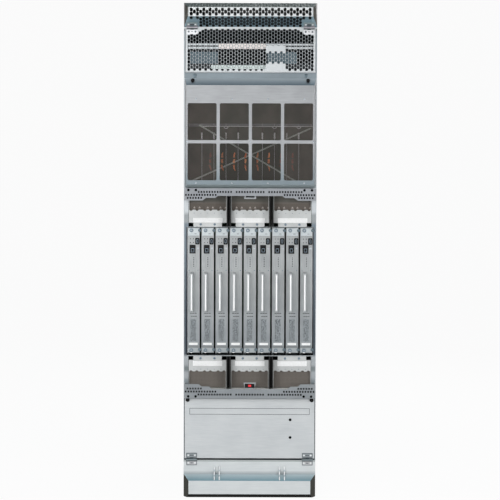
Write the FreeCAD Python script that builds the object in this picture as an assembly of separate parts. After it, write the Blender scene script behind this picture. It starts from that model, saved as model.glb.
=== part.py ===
import FreeCAD
import Part
import math
import os

# Tall chassis router: a sheet-metal cabinet with a vented hood, fan bays, a meshed card bay,
# six air filters, two cable brackets and a row of switch boards.
# Millimetres. +Z is up, the boards face -Y, and the origin is the middle of the base on the floor.
# The heights below stack from the floor up, so the overall height is their sum.

# Sheet metal and clearances
SHEET = 2.0
SEAT_GAP = 0.4
PIN_GAP = 0.05
KNUCKLE_GAP = 0.4

# Board row: with the posts it sets the cabinet's width
BOARD_COUNT = 9
BOARD_PITCH = 64.8
FACE_W = 56.6
POST_W = 12.4

# Depths ahead of and behind the face of the frame
DEPTH = 1000.0
HOOD_REACH = 62.0
KICK_REACH = 40.0
PANEL_REACH = 32.0
BOARD_DEPTH = 372.0
MIDPLANE_T = 4.0
POST_DEPTH = 60.0

# Heights from the floor up
KICK_CHAMFER_H = 17.0
KICK_PLATE_H = 62.0
KICK_SLOPE_H = 25.0
KICK_FLANGE_H = 65.0
HINGE_STRIP_H = 8.0
LOWER_DOOR_H = 284.0
BRACKET_GAP = 2.0
SHELF_OVER_BRACKET_FOOT = 41.0
LOWER_BAY_H = 146.0
CAGE_FLOOR_T = 4.0
BOARD_FLOAT = 10.0
BOARD_H = 579.0
BOARD_TOP_GAP = 1.0
UPPER_BAY_H = 157.0
BRACKET_OVER_SHELF = 19.5
MESH_PANEL_H = 500.0
SILL_H = 25.0
FAN_DOOR_H = 200.0
HOOD_SLOPE_H = 42.0
HOOD_PLATE_H = 41.0
HOOD_CHAMFER_H = 26.0

# Hood: side chamfers and staggered vents, each a lozenge standing on its point
HOOD_SIDE_CHAMFER = 20.0
VENT_PITCH_X = 28.3
VENT_PITCH_Z = 19.0
VENT_W = 13.0
VENT_H = 15.0
VENT_MARGIN = 13.0
SLOPE_VENT_ROWS = 3

# Kick cover: side chamfers and gussets in the bend
KICK_SIDE_CHAMFER = 24.0
KICK_TOE = 15.0
GUSSET_T = 5.0
GUSSET_PAIR = 23.0
GUSSET_X = 150.0
GUSSET_RISE = 38.0

# Doors
DOOR_SIDE_GAP = 5.0
GRILLE_PITCH_X = 40.0
GRILLE_PITCH_Z = 46.0
GRILLE_HOLE_W = 24.0
GRILLE_HOLE_H = 28.0
GRILLE_EDGE = 12.0
GRILLE_CORNER = 40.0
SIGHT_R = 6.5
SIGHT_X = 187.0
SIGHT_DROP = 105.0
SIGHT_PITCH = 82.0

# Surface hinges
HINGE_W = 50.0
HINGE_LEAF_H = 25.0
HINGE_X = 267.0
KNUCKLE_R = 6.0
PIN_R = 3.0

# Mesh panel
PANEL_SIDE_CHAMFER = 8.0
PANEL_SIDE_GAP = 4.0
PANEL_FOOT_H = 14.0
PANEL_SLOPE_H = 33.0
WINDOW_COLUMNS = 4
WINDOW_ROWS = 2
WINDOW_R = 7.0
MULLION = 14.5
WINDOW_MARGIN = 6.0
HEADER_H = 82.0
FOOTER_H = 20.0
SCREEN_T = 1.0

# Cable brackets: heights at the middle, the step and the ends, and the steps' distances from the ends
BRACKET_INSET = 4.0
UPPER_BRACKET_H = (35.0, 44.0, 56.0)
LOWER_BRACKET_H = (43.0, 54.0, 65.0)
UPPER_BRACKET_STEPS = (153.0, 142.0, 100.0, 82.0)
LOWER_BRACKET_STEPS = (128.0, 114.0, 80.0, 67.0)
TIE_PITCH_X = 12.3
TIE_PITCH_Z = 13.6
TIE_HOLE_W = 7.2
TIE_HOLE_H = 8.8
TIE_EDGE = 17.0
# rows of tie holes: distance of the first hole from the end, and how many follow
TIE_STARTS = (66.0, 8.0, 16.0)
TIE_COUNTS = (13, 12, 6)
TIE_MIDDLE = 11
STUD_HOLE_R = 6.0
STUD_HOLE_SIDES = 16
STUD_EDGE = 8.5
STUD_ENDS = (19.0, 53.0)

# Lamp tabs on the cable shelves
TAB_W = 56.0
TAB_TAPER = 6.0
TAB_H = 29.0
TAB_SETBACK = 18.0
LAMP_W = 40.0
LAMP_H = 17.0
LAMP_T = 8.0

# Air filters: a notched face with a screw tab, and the media behind it
FILTER_COUNT = 3
DIVIDER_W = 18.0
DIVIDER_WALL = 3.0
DIVIDER_REACH = 55.0
FILTER_PLAY = 1.7
UPPER_FACE_H = 60.0
LOWER_FACE_H = 53.0
FILTER_TAB_W = 131.0
FILTER_TAB_H = 18.0
FILTER_DEPTH = 16.0
MEDIA_T = 3.0
NOTCH_PAIRS = 3
NOTCH_PAIR_PITCH = 62.5
NOTCH_SPACING = 27.0
NOTCH_W = 15.0
NOTCH_H = 5.0

# Switch boards
FACE_RETURN = 14.0
FACE_SHEET = 2.0
UPPER_LEVER_H = 40.0
LOWER_LEVER_H = 33.0
LEVER_GAP = 1.0
LEVER_SIDE_GAP = 0.3
LEVER_T = 9.0
CIRCUIT_T = 3.2
HANDLE_H = 185.0
HANDLE_W = 10.0
HANDLE_REACH = 42.0
HANDLE_BAR = 8.0
HANDLE_RAKE = 8.0
HANDLE_OVER_PLATE_FOOT = 156.0
HANDLE_OFFSET = -8.0
SINK_H = 22.0
SINK_BASE = 6.0
SINK_FINS = 4
SINK_MARGIN = 60.0
PLUG_H = 14.0
PLUG_DEPTH = 30.0
GUIDE_BLOCK_W = 8.0
GUIDE_GRIP = 4.0

# Card cage behind the mesh panel
CAGE_SETBACK = 42.0
GUIDE_COUNT = 9
GUIDE_PITCH = 55.8
GUIDE_W = 4.0
GUIDE_DEPTH = 12.0
CAGE_RAIL_H = 14.0
CAGE_RAIL_DROP = 205.0
BRACE_W = 7.0
BRACE_T = 2.0
# ends of the two braces: distances from the panel's ends, and from the middle lines of the rails
RISING_INSETS = (23.0, 23.0)
FALLING_INSETS = (67.0, 75.0)
RISING_OFFSETS = (6.5, -13.5)

# Fan trays
TRAYS_PER_BAY = 2
TRAY_H = 78.0
TRAY_PITCH = 92.0
TRAY_DEPTH = 360.0
TRAY_SETBACK = 14.0
TRAY_LIFT = 18.0
TRAY_PLAY = 6.0
TRAY_WALL = 2.0
TRAY_LIP_H = 24.0
FAN_COUNT = 3
FAN_R = 84.0
FAN_SIDES = 12
FAN_HUB_R = 34.0
FAN_HUB_H = 48.0
FAN_SPOKE_W = 10.0
RUNNER_W = 16.0
RUNNER_T = 2.0

# Base and rear
BASE_T = 3.0
BASE_LIP_H = 40.0
ANCHOR_R = 7.0
ANCHOR_X = 440.0
ANCHOR_Y = 740.0
SLOT_W = 420.0
SLOT_H = 8.0
SLOT_PITCH = 22.0
SLOT_COUNT = 10
SLOT_TOP = 120.0

# Derived widths
INNER_W = BOARD_COUNT * BOARD_PITCH
INNER = INNER_W / 2
HALF = INNER + POST_W
PANEL_X = HALF - SHEET
BRACKET_X = HALF - BRACKET_INSET
FILTER_PITCH = INNER_W / FILTER_COUNT
FILTER_W = FILTER_PITCH - DIVIDER_W - 2 * FILTER_PLAY
LEVER_W = FACE_W - 2 * FACE_SHEET - 2 * LEVER_SIDE_GAP

# Derived depths
FRONT = -DEPTH / 2
BACK = DEPTH / 2
FRAME_Y = FRONT + HOOD_REACH
DOOR_BACK = FRAME_Y - SEAT_GAP
DOOR_FRONT = DOOR_BACK - SHEET
HINGE_AXIS_Y = DOOR_FRONT - KNUCKLE_R
CIRCUIT_Y = FRAME_Y + LEVER_T + LEVER_GAP
MIDPLANE_Y = FRAME_Y + BOARD_DEPTH

# Derived heights
KICK_SLOPE_Z = KICK_CHAMFER_H + KICK_PLATE_H
KICK_FLANGE_Z = KICK_SLOPE_Z + KICK_SLOPE_H
LOWER_STRIP_Z = KICK_FLANGE_Z + KICK_FLANGE_H
LOWER_AXIS_Z = LOWER_STRIP_Z + HINGE_STRIP_H / 2
LOWER_DOOR_Z = LOWER_STRIP_Z + HINGE_STRIP_H
LOWER_DOOR_TOP = LOWER_DOOR_Z + LOWER_DOOR_H
LOWER_BRACKET_Z = LOWER_DOOR_TOP + BRACKET_GAP
LOWER_SHELF_Z = LOWER_BRACKET_Z + SHELF_OVER_BRACKET_FOOT
CAGE_FLOOR_Z = LOWER_SHELF_Z + LOWER_BAY_H
CAGE_FLOOR_TOP = CAGE_FLOOR_Z + CAGE_FLOOR_T
BOARD_Z = CAGE_FLOOR_TOP + BOARD_FLOAT
BOARD_TOP = BOARD_Z + BOARD_H
PLATE_Z = BOARD_Z + LOWER_LEVER_H
PLATE_TOP = BOARD_TOP - UPPER_LEVER_H
CAGE_ROOF_Z = BOARD_TOP + BOARD_TOP_GAP
UPPER_BAY_Z = CAGE_ROOF_Z + SHEET
UPPER_SHELF_Z = UPPER_BAY_Z + UPPER_BAY_H
UPPER_BRACKET_TOP = UPPER_SHELF_Z + BRACKET_OVER_SHELF
MESH_PANEL_Z = UPPER_BRACKET_TOP + BRACKET_GAP
SILL_Z = MESH_PANEL_Z + MESH_PANEL_H
FAN_DOOR_Z = SILL_Z + SILL_H + SEAT_GAP
FAN_DOOR_TOP = FAN_DOOR_Z + FAN_DOOR_H
UPPER_AXIS_Z = FAN_DOOR_TOP + HINGE_STRIP_H / 2
HOOD_Z = FAN_DOOR_TOP + HINGE_STRIP_H
HOOD_PLATE_Z = HOOD_Z + HOOD_SLOPE_H
HOOD_CHAMFER_Z = HOOD_PLATE_Z + HOOD_PLATE_H
HEIGHT = HOOD_CHAMFER_Z + HOOD_CHAMFER_H


# General shapes

def vec(x, y, z):
    return FreeCAD.Vector(x, y, z)


def block(x0, x1, y0, y1, z0, z1):
    low = vec(min(x0, x1), min(y0, y1), min(z0, z1))
    return Part.makeBox(abs(x1 - x0), abs(y1 - y0), abs(z1 - z0), low)


def polygon(points):
    return Part.Face(Part.makePolygon(points + [points[0]]))


# A prism along Y from an outline of (x, z) points
def extrude_xz(outline, y0, y1):
    return polygon([vec(x, y0, z) for x, z in outline]).extrude(vec(0, y1 - y0, 0))


# A prism along X from an outline of (y, z) points
def extrude_yz(outline, x0, x1):
    return polygon([vec(x0, y, z) for y, z in outline]).extrude(vec(x1 - x0, 0, 0))


# A prism along Z from an outline of (x, y) points
def extrude_xy(outline, z0, z1):
    return polygon([vec(x, y, z0) for x, y in outline]).extrude(vec(0, 0, z1 - z0))


# A flat upright plate with its outline and holes given as rings of (x, z) points
def perforated_plate(outline, holes, y0, y1):
    wires = []
    for ring in [outline] + holes:
        wires.append(Part.makePolygon([vec(x, y0, z) for x, z in ring + [ring[0]]]))
    face = Part.makeFace(Part.makeCompound(wires), "Part::FaceMakerBullseye")
    return face.extrude(vec(0, y1 - y0, 0))


def rectangle(x0, x1, z0, z1):
    return [(x0, z0), (x1, z0), (x1, z1), (x0, z1)]


def lozenge(x, z, w, h):
    return [(x, z - h / 2), (x + w / 2, z), (x, z + h / 2), (x - w / 2, z)]


def ring_points(count, radius):
    turns = [2 * math.pi * (n + 0.5) / count for n in range(count)]
    return [(radius * math.cos(a), radius * math.sin(a)) for a in turns]


def mirror_x(shape):
    return shape.mirror(vec(0, 0, 0), vec(1, 0, 0))


def group(solids):
    return Part.makeCompound(solids)


# A solid between two upright rectangles (x0, x1, z0, z1), joined by flat sloping sides
def frustum(back, front, y_back, y_front):
    rings = []
    for r, y in ((back, y_back), (front, y_front)):
        rings.append([vec(r[0], y, r[2]), vec(r[1], y, r[2]), vec(r[1], y, r[3]), vec(r[0], y, r[3])])
    b, f = rings
    faces = [polygon(b), polygon(f)]
    for i in range(len(b)):
        j = (i + 1) % len(b)
        faces.append(polygon([b[i], b[j], f[j], f[i]]))
    solid = Part.makeSolid(Part.makeShell(faces))
    solid.fix(PIN_GAP, PIN_GAP, PIN_GAP)
    return solid


# The rectangle at a share of the way from back to front, drawn in by one sheet
def inner_rectangle(back, front, share):
    r = [b + (f - b) * share for b, f in zip(back, front)]
    return r[0] + SHEET, r[1] - SHEET, r[2] + SHEET, r[3] - SHEET


# A sheet cover that bulges forward from its rim to a flat front, open at the back
def bumped_cover(back, front, y_back, y_front):
    step = SHEET / (y_back - y_front)
    hollow_back = inner_rectangle(back, front, -step)
    hollow_front = inner_rectangle(back, front, 1 - step)
    hollow = frustum(hollow_back, hollow_front, y_back + SHEET, y_front + SHEET)
    return frustum(back, front, y_back, y_front).cut(hollow)


# Cabinet shell

def side_panel():
    return block(PANEL_X, HALF, FRAME_Y, BACK - SHEET, 0, HEIGHT)


def roof_panel():
    return block(-PANEL_X, PANEL_X, FRAME_Y, BACK - SHEET, HEIGHT - SHEET, HEIGHT)


# Floor tray with an upturned lip and four anchor holes
def base_frame():
    y0 = FRAME_Y
    y1 = BACK - SHEET
    tray = block(-PANEL_X, PANEL_X, y0, y1, 0, BASE_LIP_H)
    inside = PANEL_X - BASE_T
    tray = tray.cut(block(-inside, inside, y0 + BASE_T, y1 - BASE_T, BASE_T, BASE_LIP_H + BASE_T))
    for sx in (-1, 1):
        for sy in (-1, 1):
            at = vec(sx * ANCHOR_X / 2, (y0 + y1) / 2 + sy * ANCHOR_Y / 2, -BASE_T)
            tray = tray.cut(Part.makeCylinder(ANCHOR_R, 3 * BASE_T, at))
    return tray


# Flat back cover with a bank of exhaust slots near the top
def rear_panel():
    holes = []
    for i in range(SLOT_COUNT):
        z = HEIGHT - SLOT_TOP - i * SLOT_PITCH
        holes.append(rectangle(-SLOT_W / 2, SLOT_W / 2, z - SLOT_H, z))
    return perforated_plate(rectangle(-HALF, HALF, 0, HEIGHT), holes, BACK - SHEET, BACK)


# Frame

# Angle-section front post on the right
def post():
    y1 = FRAME_Y + POST_DEPTH
    outline = [(INNER, FRAME_Y), (PANEL_X, FRAME_Y), (PANEL_X, y1), (PANEL_X - SHEET, y1),
               (PANEL_X - SHEET, FRAME_Y + SHEET), (INNER, FRAME_Y + SHEET)]
    return extrude_xy(outline, BASE_LIP_H, HEIGHT - SHEET)


# Cheek that carries a cable bracket's end ahead of the side panel
def shelf_cheek(z0, z1):
    return block(BRACKET_X - SHEET, BRACKET_X, FRONT + SHEET, FRAME_Y, z0, z1)


# Strip beside the outer filter of a bay
def bay_filler(z0, z1):
    return block(INNER - DIVIDER_W / 2, INNER, FRAME_Y, FRAME_Y + SHEET, z0, z1)


# Undersides of the fan trays, lowest first
def tray_levels():
    return [bay + TRAY_LIFT + i * TRAY_PITCH for bay in (LOWER_DOOR_Z, FAN_DOOR_Z) for i in range(TRAYS_PER_BAY)]


# Angle runner under the right side of a fan tray
def runner(z):
    x0 = PANEL_X - RUNNER_W
    x1 = PANEL_X - RUNNER_T
    outline = [(x0, z - RUNNER_T), (PANEL_X, z - RUNNER_T), (PANEL_X, z + RUNNER_W), (x1, z + RUNNER_W), (x1, z),
               (x0, z)]
    return extrude_xz(outline, FRAME_Y + POST_DEPTH, FRAME_Y + TRAY_SETBACK + TRAY_DEPTH)


def cable_shelf(z0):
    x = BRACKET_X - SHEET
    return block(-x, x, FRONT + SHEET, FRAME_Y, z0, z0 + SHEET)


# Tab on a cable shelf, narrower at its root, with a window for the lamp
def lamp_tab(z_root, z_tip):
    half = TAB_W / 2
    y0 = FRONT + TAB_SETBACK
    outline = [(-half + TAB_TAPER, z_root), (half - TAB_TAPER, z_root), (half, z_tip), (-half, z_tip)]
    middle = (z_root + z_tip) / 2
    window = rectangle(-LAMP_W / 2, LAMP_W / 2, middle - LAMP_H / 2, middle + LAMP_H / 2)
    return perforated_plate(outline, [window], y0, y0 + SHEET)


def chassis_frame():
    right = [post()]
    right.append(shelf_cheek(LOWER_BRACKET_Z, LOWER_BRACKET_Z + LOWER_BRACKET_H[2]))
    right.append(shelf_cheek(UPPER_BRACKET_TOP - UPPER_BRACKET_H[2], UPPER_BRACKET_TOP))
    right.append(bay_filler(LOWER_SHELF_Z, CAGE_FLOOR_Z))
    right.append(bay_filler(UPPER_BAY_Z, UPPER_SHELF_Z))
    right += [runner(z) for z in tray_levels()]
    members = right + [mirror_x(m) for m in right]
    members.append(cable_shelf(LOWER_SHELF_Z - SHEET))
    members.append(cable_shelf(UPPER_SHELF_Z))
    members.append(lamp_tab(LOWER_SHELF_Z, LOWER_SHELF_Z + TAB_H))
    members.append(lamp_tab(UPPER_SHELF_Z, UPPER_SHELF_Z - TAB_H))
    members.append(block(-INNER, INNER, FRAME_Y, FRAME_Y + SHEET, SILL_Z, SILL_Z + SILL_H))
    rail_z = FAN_DOOR_TOP - HINGE_STRIP_H / 2
    members.append(block(-INNER, INNER, FRAME_Y, FRAME_Y + SHEET, rail_z, HOOD_Z + HINGE_STRIP_H / 2))
    return group(members)


# Lamp bodies: a lens that fills each tab's window and a wider body behind the tab
def alarm_lamps():
    lamps = []
    y0 = FRONT + TAB_SETBACK + SHEET
    for middle in (LOWER_SHELF_Z + TAB_H / 2, UPPER_SHELF_Z - TAB_H / 2):
        w = LAMP_W / 2 - SEAT_GAP
        h = LAMP_H / 2 - SEAT_GAP
        lens = block(-w, w, y0 - SHEET, y0, middle - h, middle + h)
        w = LAMP_W / 2 + SHEET
        h = LAMP_H / 2 + SHEET
        lamps.append(lens.fuse(block(-w, w, y0, y0 + LAMP_T, middle - h, middle + h)))
    return group(lamps)


# Hood and kick

# Direction up the hood's slope and the way out of its face
def slope_axes():
    along = vec(0, FRONT - FRAME_Y, HOOD_SLOPE_H)
    along.normalize()
    return along, vec(0, -along.z, along.y)


# Vents on the slope, cut square to it, in the stretch between the hinges
def slope_vents(columns, first):
    along, out = slope_axes()
    length = math.hypot(FRONT - FRAME_Y, HOOD_SLOPE_H)
    root = vec(0, FRAME_Y, HOOD_Z) + out * SHEET
    cutters = []
    for row in range(SLOPE_VENT_ROWS):
        s = length * (row + 1) / (SLOPE_VENT_ROWS + 1)
        shift = row % 2
        for i in range(columns + 1 - shift):
            x = first + (i + shift / 2) * VENT_PITCH_X
            if abs(x) < HINGE_X - HINGE_W:
                ring = [root + along * (s + z) + vec(dx, 0, 0) for dx, z in lozenge(x, 0, VENT_W, VENT_H)]
                cutters.append(polygon(ring).extrude(out * -4 * SHEET))
    return cutters


# Exhaust hood that bulges out over the fan door, with a staggered band of vents along its front
def hood_cover():
    x = HALF - HOOD_SIDE_CHAMFER
    front = (-x, x, HOOD_PLATE_Z, HOOD_CHAMFER_Z)
    cover = bumped_cover((-HALF, HALF, HOOD_Z, HEIGHT), front, FRAME_Y, FRONT)
    columns = int(2 * (x - VENT_MARGIN) / VENT_PITCH_X)
    first = -columns * VENT_PITCH_X / 2
    middle = (HOOD_PLATE_Z + HOOD_CHAMFER_Z) / 2
    cutters = slope_vents(columns, first)
    for i in range(2 * columns + 1):
        offsets = (0,) if i % 2 else (-VENT_PITCH_Z / 2, VENT_PITCH_Z / 2)
        for dz in offsets:
            hole = lozenge(first + i * VENT_PITCH_X / 2, middle + dz, VENT_W, VENT_H)
            cutters.append(extrude_xz(hole, FRONT - SHEET, FRONT + 2 * SHEET))
    return cover.cut(group(cutters))


# Plinth cover: a bulging plate with a steep toe, cut level with the floor, a flat flange above,
# and two pairs of gussets in the bend
def kick_cover():
    toe_drop = KICK_CHAMFER_H * (KICK_REACH / KICK_TOE - 1)
    back = (-HALF, HALF, -toe_drop, KICK_FLANGE_Z)
    x = HALF - KICK_SIDE_CHAMFER
    front = (-x, x, KICK_CHAMFER_H, KICK_SLOPE_Z)
    y_front = FRAME_Y - KICK_REACH
    y_flange = FRAME_Y - SHEET
    bulge = frustum(back, front, FRAME_Y, y_front)
    pieces = [block(-HALF, HALF, y_flange, FRAME_Y, KICK_FLANGE_Z - SHEET, LOWER_STRIP_Z)]
    corner = [(y_flange, KICK_SLOPE_Z), (y_flange, KICK_FLANGE_Z + GUSSET_RISE), (y_front, KICK_SLOPE_Z)]
    for side in (-1, 1):
        for end in (-1, 1):
            middle = side * GUSSET_X + end * GUSSET_PAIR / 2
            pieces.append(extrude_yz(corner, middle - GUSSET_T / 2, middle + GUSSET_T / 2).cut(bulge))
    under_floor = block(-2 * HALF, 2 * HALF, y_front - SHEET, FRAME_Y + SHEET, -2 * toe_drop, 0)
    cover = bumped_cover(back, front, FRAME_Y, y_front).cut(under_floor)
    return cover.fuse(pieces).removeSplitter()


# Doors and hinges

# Door over the upper fan trays: a staggered grille, plain in the corners under the hinges
def fan_door():
    x = HALF - DOOR_SIDE_GAP
    rows = int((FAN_DOOR_H - 2 * GRILLE_EDGE - GRILLE_HOLE_H) / (GRILLE_PITCH_Z / 2))
    columns = int((2 * x - 2 * GRILLE_EDGE - GRILLE_HOLE_W) / GRILLE_PITCH_X)
    holes = []
    for row in range(rows + 1):
        z = (FAN_DOOR_Z + FAN_DOOR_TOP) / 2 + (row - rows / 2) * GRILLE_PITCH_Z / 2
        count = columns - row % 2
        for i in range(count + 1):
            cx = (i - count / 2) * GRILLE_PITCH_X
            under_hinge = abs(cx) > HINGE_X - GRILLE_CORNER and z > FAN_DOOR_TOP - GRILLE_CORNER
            if not under_hinge:
                holes.append(lozenge(cx, z, GRILLE_HOLE_W, GRILLE_HOLE_H))
    return perforated_plate(rectangle(-x, x, FAN_DOOR_Z, FAN_DOOR_TOP), holes, DOOR_FRONT, DOOR_BACK)


# Plain drop-down door over the lower fan trays, with a sight hole for each tray's lamp
def lower_door():
    x = HALF - DOOR_SIDE_GAP
    door = block(-x, x, DOOR_FRONT, DOOR_BACK, LOWER_DOOR_Z, LOWER_DOOR_TOP)
    for i in range(TRAYS_PER_BAY):
        at = vec(SIGHT_X, DOOR_FRONT - SHEET, LOWER_DOOR_TOP - SIGHT_DROP - i * SIGHT_PITCH)
        door = door.cut(Part.makeCylinder(SIGHT_R, 3 * SHEET, at, vec(0, 1, 0)))
    return door


# The middle knuckle of a hinge belongs to the door, the outer two to the cabinet
def door_spans():
    edge = HINGE_W / 6 - KNUCKLE_GAP
    return [(-edge, edge)]


def fixed_spans():
    return [(-HINGE_W / 2, -HINGE_W / 6), (HINGE_W / 6, HINGE_W / 2)]


# A leaf with barrel knuckles rolled on at the given spans and bored for the pin
def rolled_leaf(x, axis_z, spans, plates):
    solids = list(plates)
    for x0, x1 in spans:
        solids.append(Part.makeCylinder(KNUCKLE_R, x1 - x0, vec(x + x0, HINGE_AXIS_Y, axis_z), vec(1, 0, 0)))
    leaf = solids[0].fuse(solids[1:])
    start = vec(x - HINGE_W, HINGE_AXIS_Y, axis_z)
    bore = Part.makeCylinder(PIN_R + PIN_GAP, 2 * HINGE_W, start, vec(1, 0, 0))
    return leaf.cut(bore).removeSplitter()


# Flat leaf that runs up or down from the axis with its back at y
def flat_leaf(x, y, axis_z, way, spans):
    tip = axis_z + way * (HINGE_STRIP_H / 2 + HINGE_LEAF_H)
    plates = [block(x - HINGE_W / 2, x + HINGE_W / 2, y - SHEET, y, axis_z + way * (KNUCKLE_R + SHEET), tip)]
    for x0, x1 in spans:
        plates.append(block(x + x0, x + x1, y - SHEET, y, axis_z, tip))
    return rolled_leaf(x, axis_z, spans, plates)


# Cabinet leaf of the fan door: it lies on the hood's slope, with a foot up to each knuckle
def slope_leaf(x):
    along, out = slope_axes()
    root = vec(0, FRAME_Y, HOOD_Z)
    to_axis = vec(0, HINGE_AXIS_Y, UPPER_AXIS_Z) - root
    at = to_axis.dot(along)
    rise = to_axis.dot(out)

    def strip(s0, s1, height, x0, x1):
        ring = [root + along * s0, root + along * s1, root + along * s1 + out * height,
                root + along * s0 + out * height]
        return extrude_yz([(p.y, p.z) for p in ring], x + x0, x + x1)

    tip = at + HINGE_STRIP_H / 2 + HINGE_LEAF_H
    plates = [strip(at + KNUCKLE_R + SHEET, tip, SHEET, -HINGE_W / 2, HINGE_W / 2)]
    for x0, x1 in fixed_spans():
        plates.append(strip(at, tip, SHEET, x0, x1))
        plates.append(strip(at, at + KNUCKLE_R / 2, rise, x0, x1))
    return rolled_leaf(x, UPPER_AXIS_Z, fixed_spans(), plates)


def hinge_fixed_leaves():
    leaves = []
    for side in (-1, 1):
        leaves.append(flat_leaf(side * HINGE_X, FRAME_Y - SHEET, LOWER_AXIS_Z, -1, fixed_spans()))
        leaves.append(slope_leaf(side * HINGE_X))
    return group(leaves)


def door_leaves(axis_z, way):
    return group([flat_leaf(side * HINGE_X, DOOR_FRONT, axis_z, way, door_spans()) for side in (-1, 1)])


def hinge_pins():
    pins = []
    for z in (LOWER_AXIS_Z, UPPER_AXIS_Z):
        for side in (-1, 1):
            at = vec(side * HINGE_X - HINGE_W / 2, HINGE_AXIS_Y, z)
            pins.append(Part.makeCylinder(PIN_R, HINGE_W, at, vec(1, 0, 0)))
    return group(pins)


# Mesh panel and the cage behind it

def panel_front():
    x = HALF - PANEL_SIDE_GAP - PANEL_SIDE_CHAMFER
    return -x, x, MESH_PANEL_Z + PANEL_FOOT_H, SILL_Z - PANEL_SLOPE_H


# Window rectangles as (x0, x1, z0, z1)
def windows():
    x0, x1, z0, z1 = panel_front()
    x0 += WINDOW_MARGIN
    z0 += FOOTER_H
    w = (x1 - WINDOW_MARGIN - x0 - (WINDOW_COLUMNS - 1) * MULLION) / WINDOW_COLUMNS
    h = (z1 - HEADER_H - z0 - (WINDOW_ROWS - 1) * MULLION) / WINDOW_ROWS
    cells = []
    for i in range(WINDOW_COLUMNS):
        for j in range(WINDOW_ROWS):
            left = x0 + i * (w + MULLION)
            low = z0 + j * (h + MULLION)
            cells.append((left, left + w, low, low + h))
    return cells


# The edges of a block that run along Y
def edges_along_y(solid):
    return [e for e in solid.Edges if abs(e.Vertexes[0].Y - e.Vertexes[-1].Y) > SHEET]


# Intake cover that bulges forward, with rows of round-cornered windows
def mesh_panel():
    x = HALF - PANEL_SIDE_GAP
    y_front = FRAME_Y - PANEL_REACH
    cutters = []
    for x0, x1, z0, z1 in windows():
        window = block(x0, x1, y_front - SHEET, y_front + 2 * SHEET, z0, z1)
        cutters.append(window.makeFillet(WINDOW_R, edges_along_y(window)))
    return bumped_cover((-x, x, MESH_PANEL_Z, SILL_Z), panel_front(), FRAME_Y, y_front).cut(group(cutters))


# Wire cloth on the back of the mesh panel, over all of its windows
def mesh_screen():
    cells = windows()
    x = max(c[1] for c in cells) + WINDOW_MARGIN / 2
    z0 = min(c[2] for c in cells) - WINDOW_MARGIN
    z1 = max(c[3] for c in cells) + WINDOW_MARGIN
    y0 = FRAME_Y - PANEL_REACH + SHEET
    return block(-x, x, y0, y0 + SCREEN_T, z0, z1)


# Upright card guides between rails, with a crossed pair of braces in front of them
def card_cage():
    y0 = FRAME_Y + CAGE_SETBACK
    y1 = y0 + GUIDE_DEPTH
    z0 = MESH_PANEL_Z + PANEL_FOOT_H
    rail_z = SILL_Z - CAGE_RAIL_DROP - CAGE_RAIL_H
    x_rail = PANEL_X - SHEET
    members = []
    for z in (z0, rail_z, SILL_Z - CAGE_RAIL_H):
        members.append(block(-x_rail, x_rail, y0, y1, z, z + CAGE_RAIL_H))
    for i in range(GUIDE_COUNT):
        x = (i - (GUIDE_COUNT - 1) / 2) * GUIDE_PITCH
        members.append(block(x - GUIDE_W / 2, x + GUIDE_W / 2, y0, y1, z0 + CAGE_RAIL_H, rail_z))
    members += cross_braces(y0, z0 + CAGE_RAIL_H / 2, rail_z + CAGE_RAIL_H / 2)
    for side in (-1, 1):
        members.append(block(side * x_rail, side * (x_rail - SHEET), y1, MIDPLANE_Y, z0, SILL_Z))
    return group(members)


# Two flat bars that cross, one laid over the other
def cross_braces(y, z_low, z_high):
    rising = (vec(RISING_INSETS[0] - PANEL_X, 0, z_low + RISING_OFFSETS[0]),
              vec(PANEL_X - RISING_INSETS[1], 0, z_high + RISING_OFFSETS[1]))
    falling = (vec(FALLING_INSETS[0] - PANEL_X, 0, z_high), vec(PANEL_X - FALLING_INSETS[1], 0, z_low))
    bars = []
    for layer, (a, b) in enumerate((rising, falling)):
        run = (b - a).normalize()
        across = vec(-run.z, 0, run.x) * (BRACE_W / 2)
        front = y - layer * BRACE_T
        ring = [(p.x, p.z) for p in (a - across, b - across, b + across, a + across)]
        bars.append(extrude_xz(ring, front - BRACE_T, front))
    return bars


# Backplane that the switch boards plug into
def midplane():
    return block(-PANEL_X, PANEL_X, MIDPLANE_Y, MIDPLANE_Y + MIDPLANE_T, CAGE_FLOOR_Z, SILL_Z)


# Cable brackets

# Strip that is low in the middle and steps up towards its ends
def bracket_outline(base_z, way, heights, steps):
    levels = (heights[0], heights[1], heights[1], heights[2])
    right = [(BRACKET_X - s, base_z + way * h) for s, h in zip(steps, levels)]
    right.append((BRACKET_X, base_z + way * heights[2]))
    left = [(-x, z) for x, z in reversed(right)]
    return [(-BRACKET_X, base_z)] + left + right + [(BRACKET_X, base_z)]


def tie_hole(x, z):
    return rectangle(x - TIE_HOLE_W / 2, x + TIE_HOLE_W / 2, z - TIE_HOLE_H / 2, z + TIE_HOLE_H / 2)


def stud_hole(x, z):
    return [(x + dx, z + dz) for dx, dz in ring_points(STUD_HOLE_SIDES, STUD_HOLE_R)]


# Tie strip with rows of square holes at both ends, a short row in the middle and stud holes near its straight edge
def cable_bracket(base_z, way, heights, steps):
    holes = []
    for row, (first, count) in enumerate(zip(TIE_STARTS, TIE_COUNTS)):
        z = base_z + way * (TIE_EDGE + row * TIE_PITCH_Z)
        for i in range(count):
            for side in (-1, 1):
                holes.append(tie_hole(side * (BRACKET_X - first - i * TIE_PITCH_X), z))
    for end in STUD_ENDS:
        for side in (-1, 1):
            holes.append(stud_hole(side * (BRACKET_X - end), base_z + way * STUD_EDGE))
    for i in range(TIE_MIDDLE):
        holes.append(tie_hole((i - (TIE_MIDDLE - 1) / 2) * TIE_PITCH_X, base_z + way * TIE_EDGE))
    return perforated_plate(bracket_outline(base_z, way, heights, steps), holes, FRONT, FRONT + SHEET)


# Air filters

def filter_x(i):
    return (i - (FILTER_COUNT - 1) / 2) * FILTER_PITCH


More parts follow.
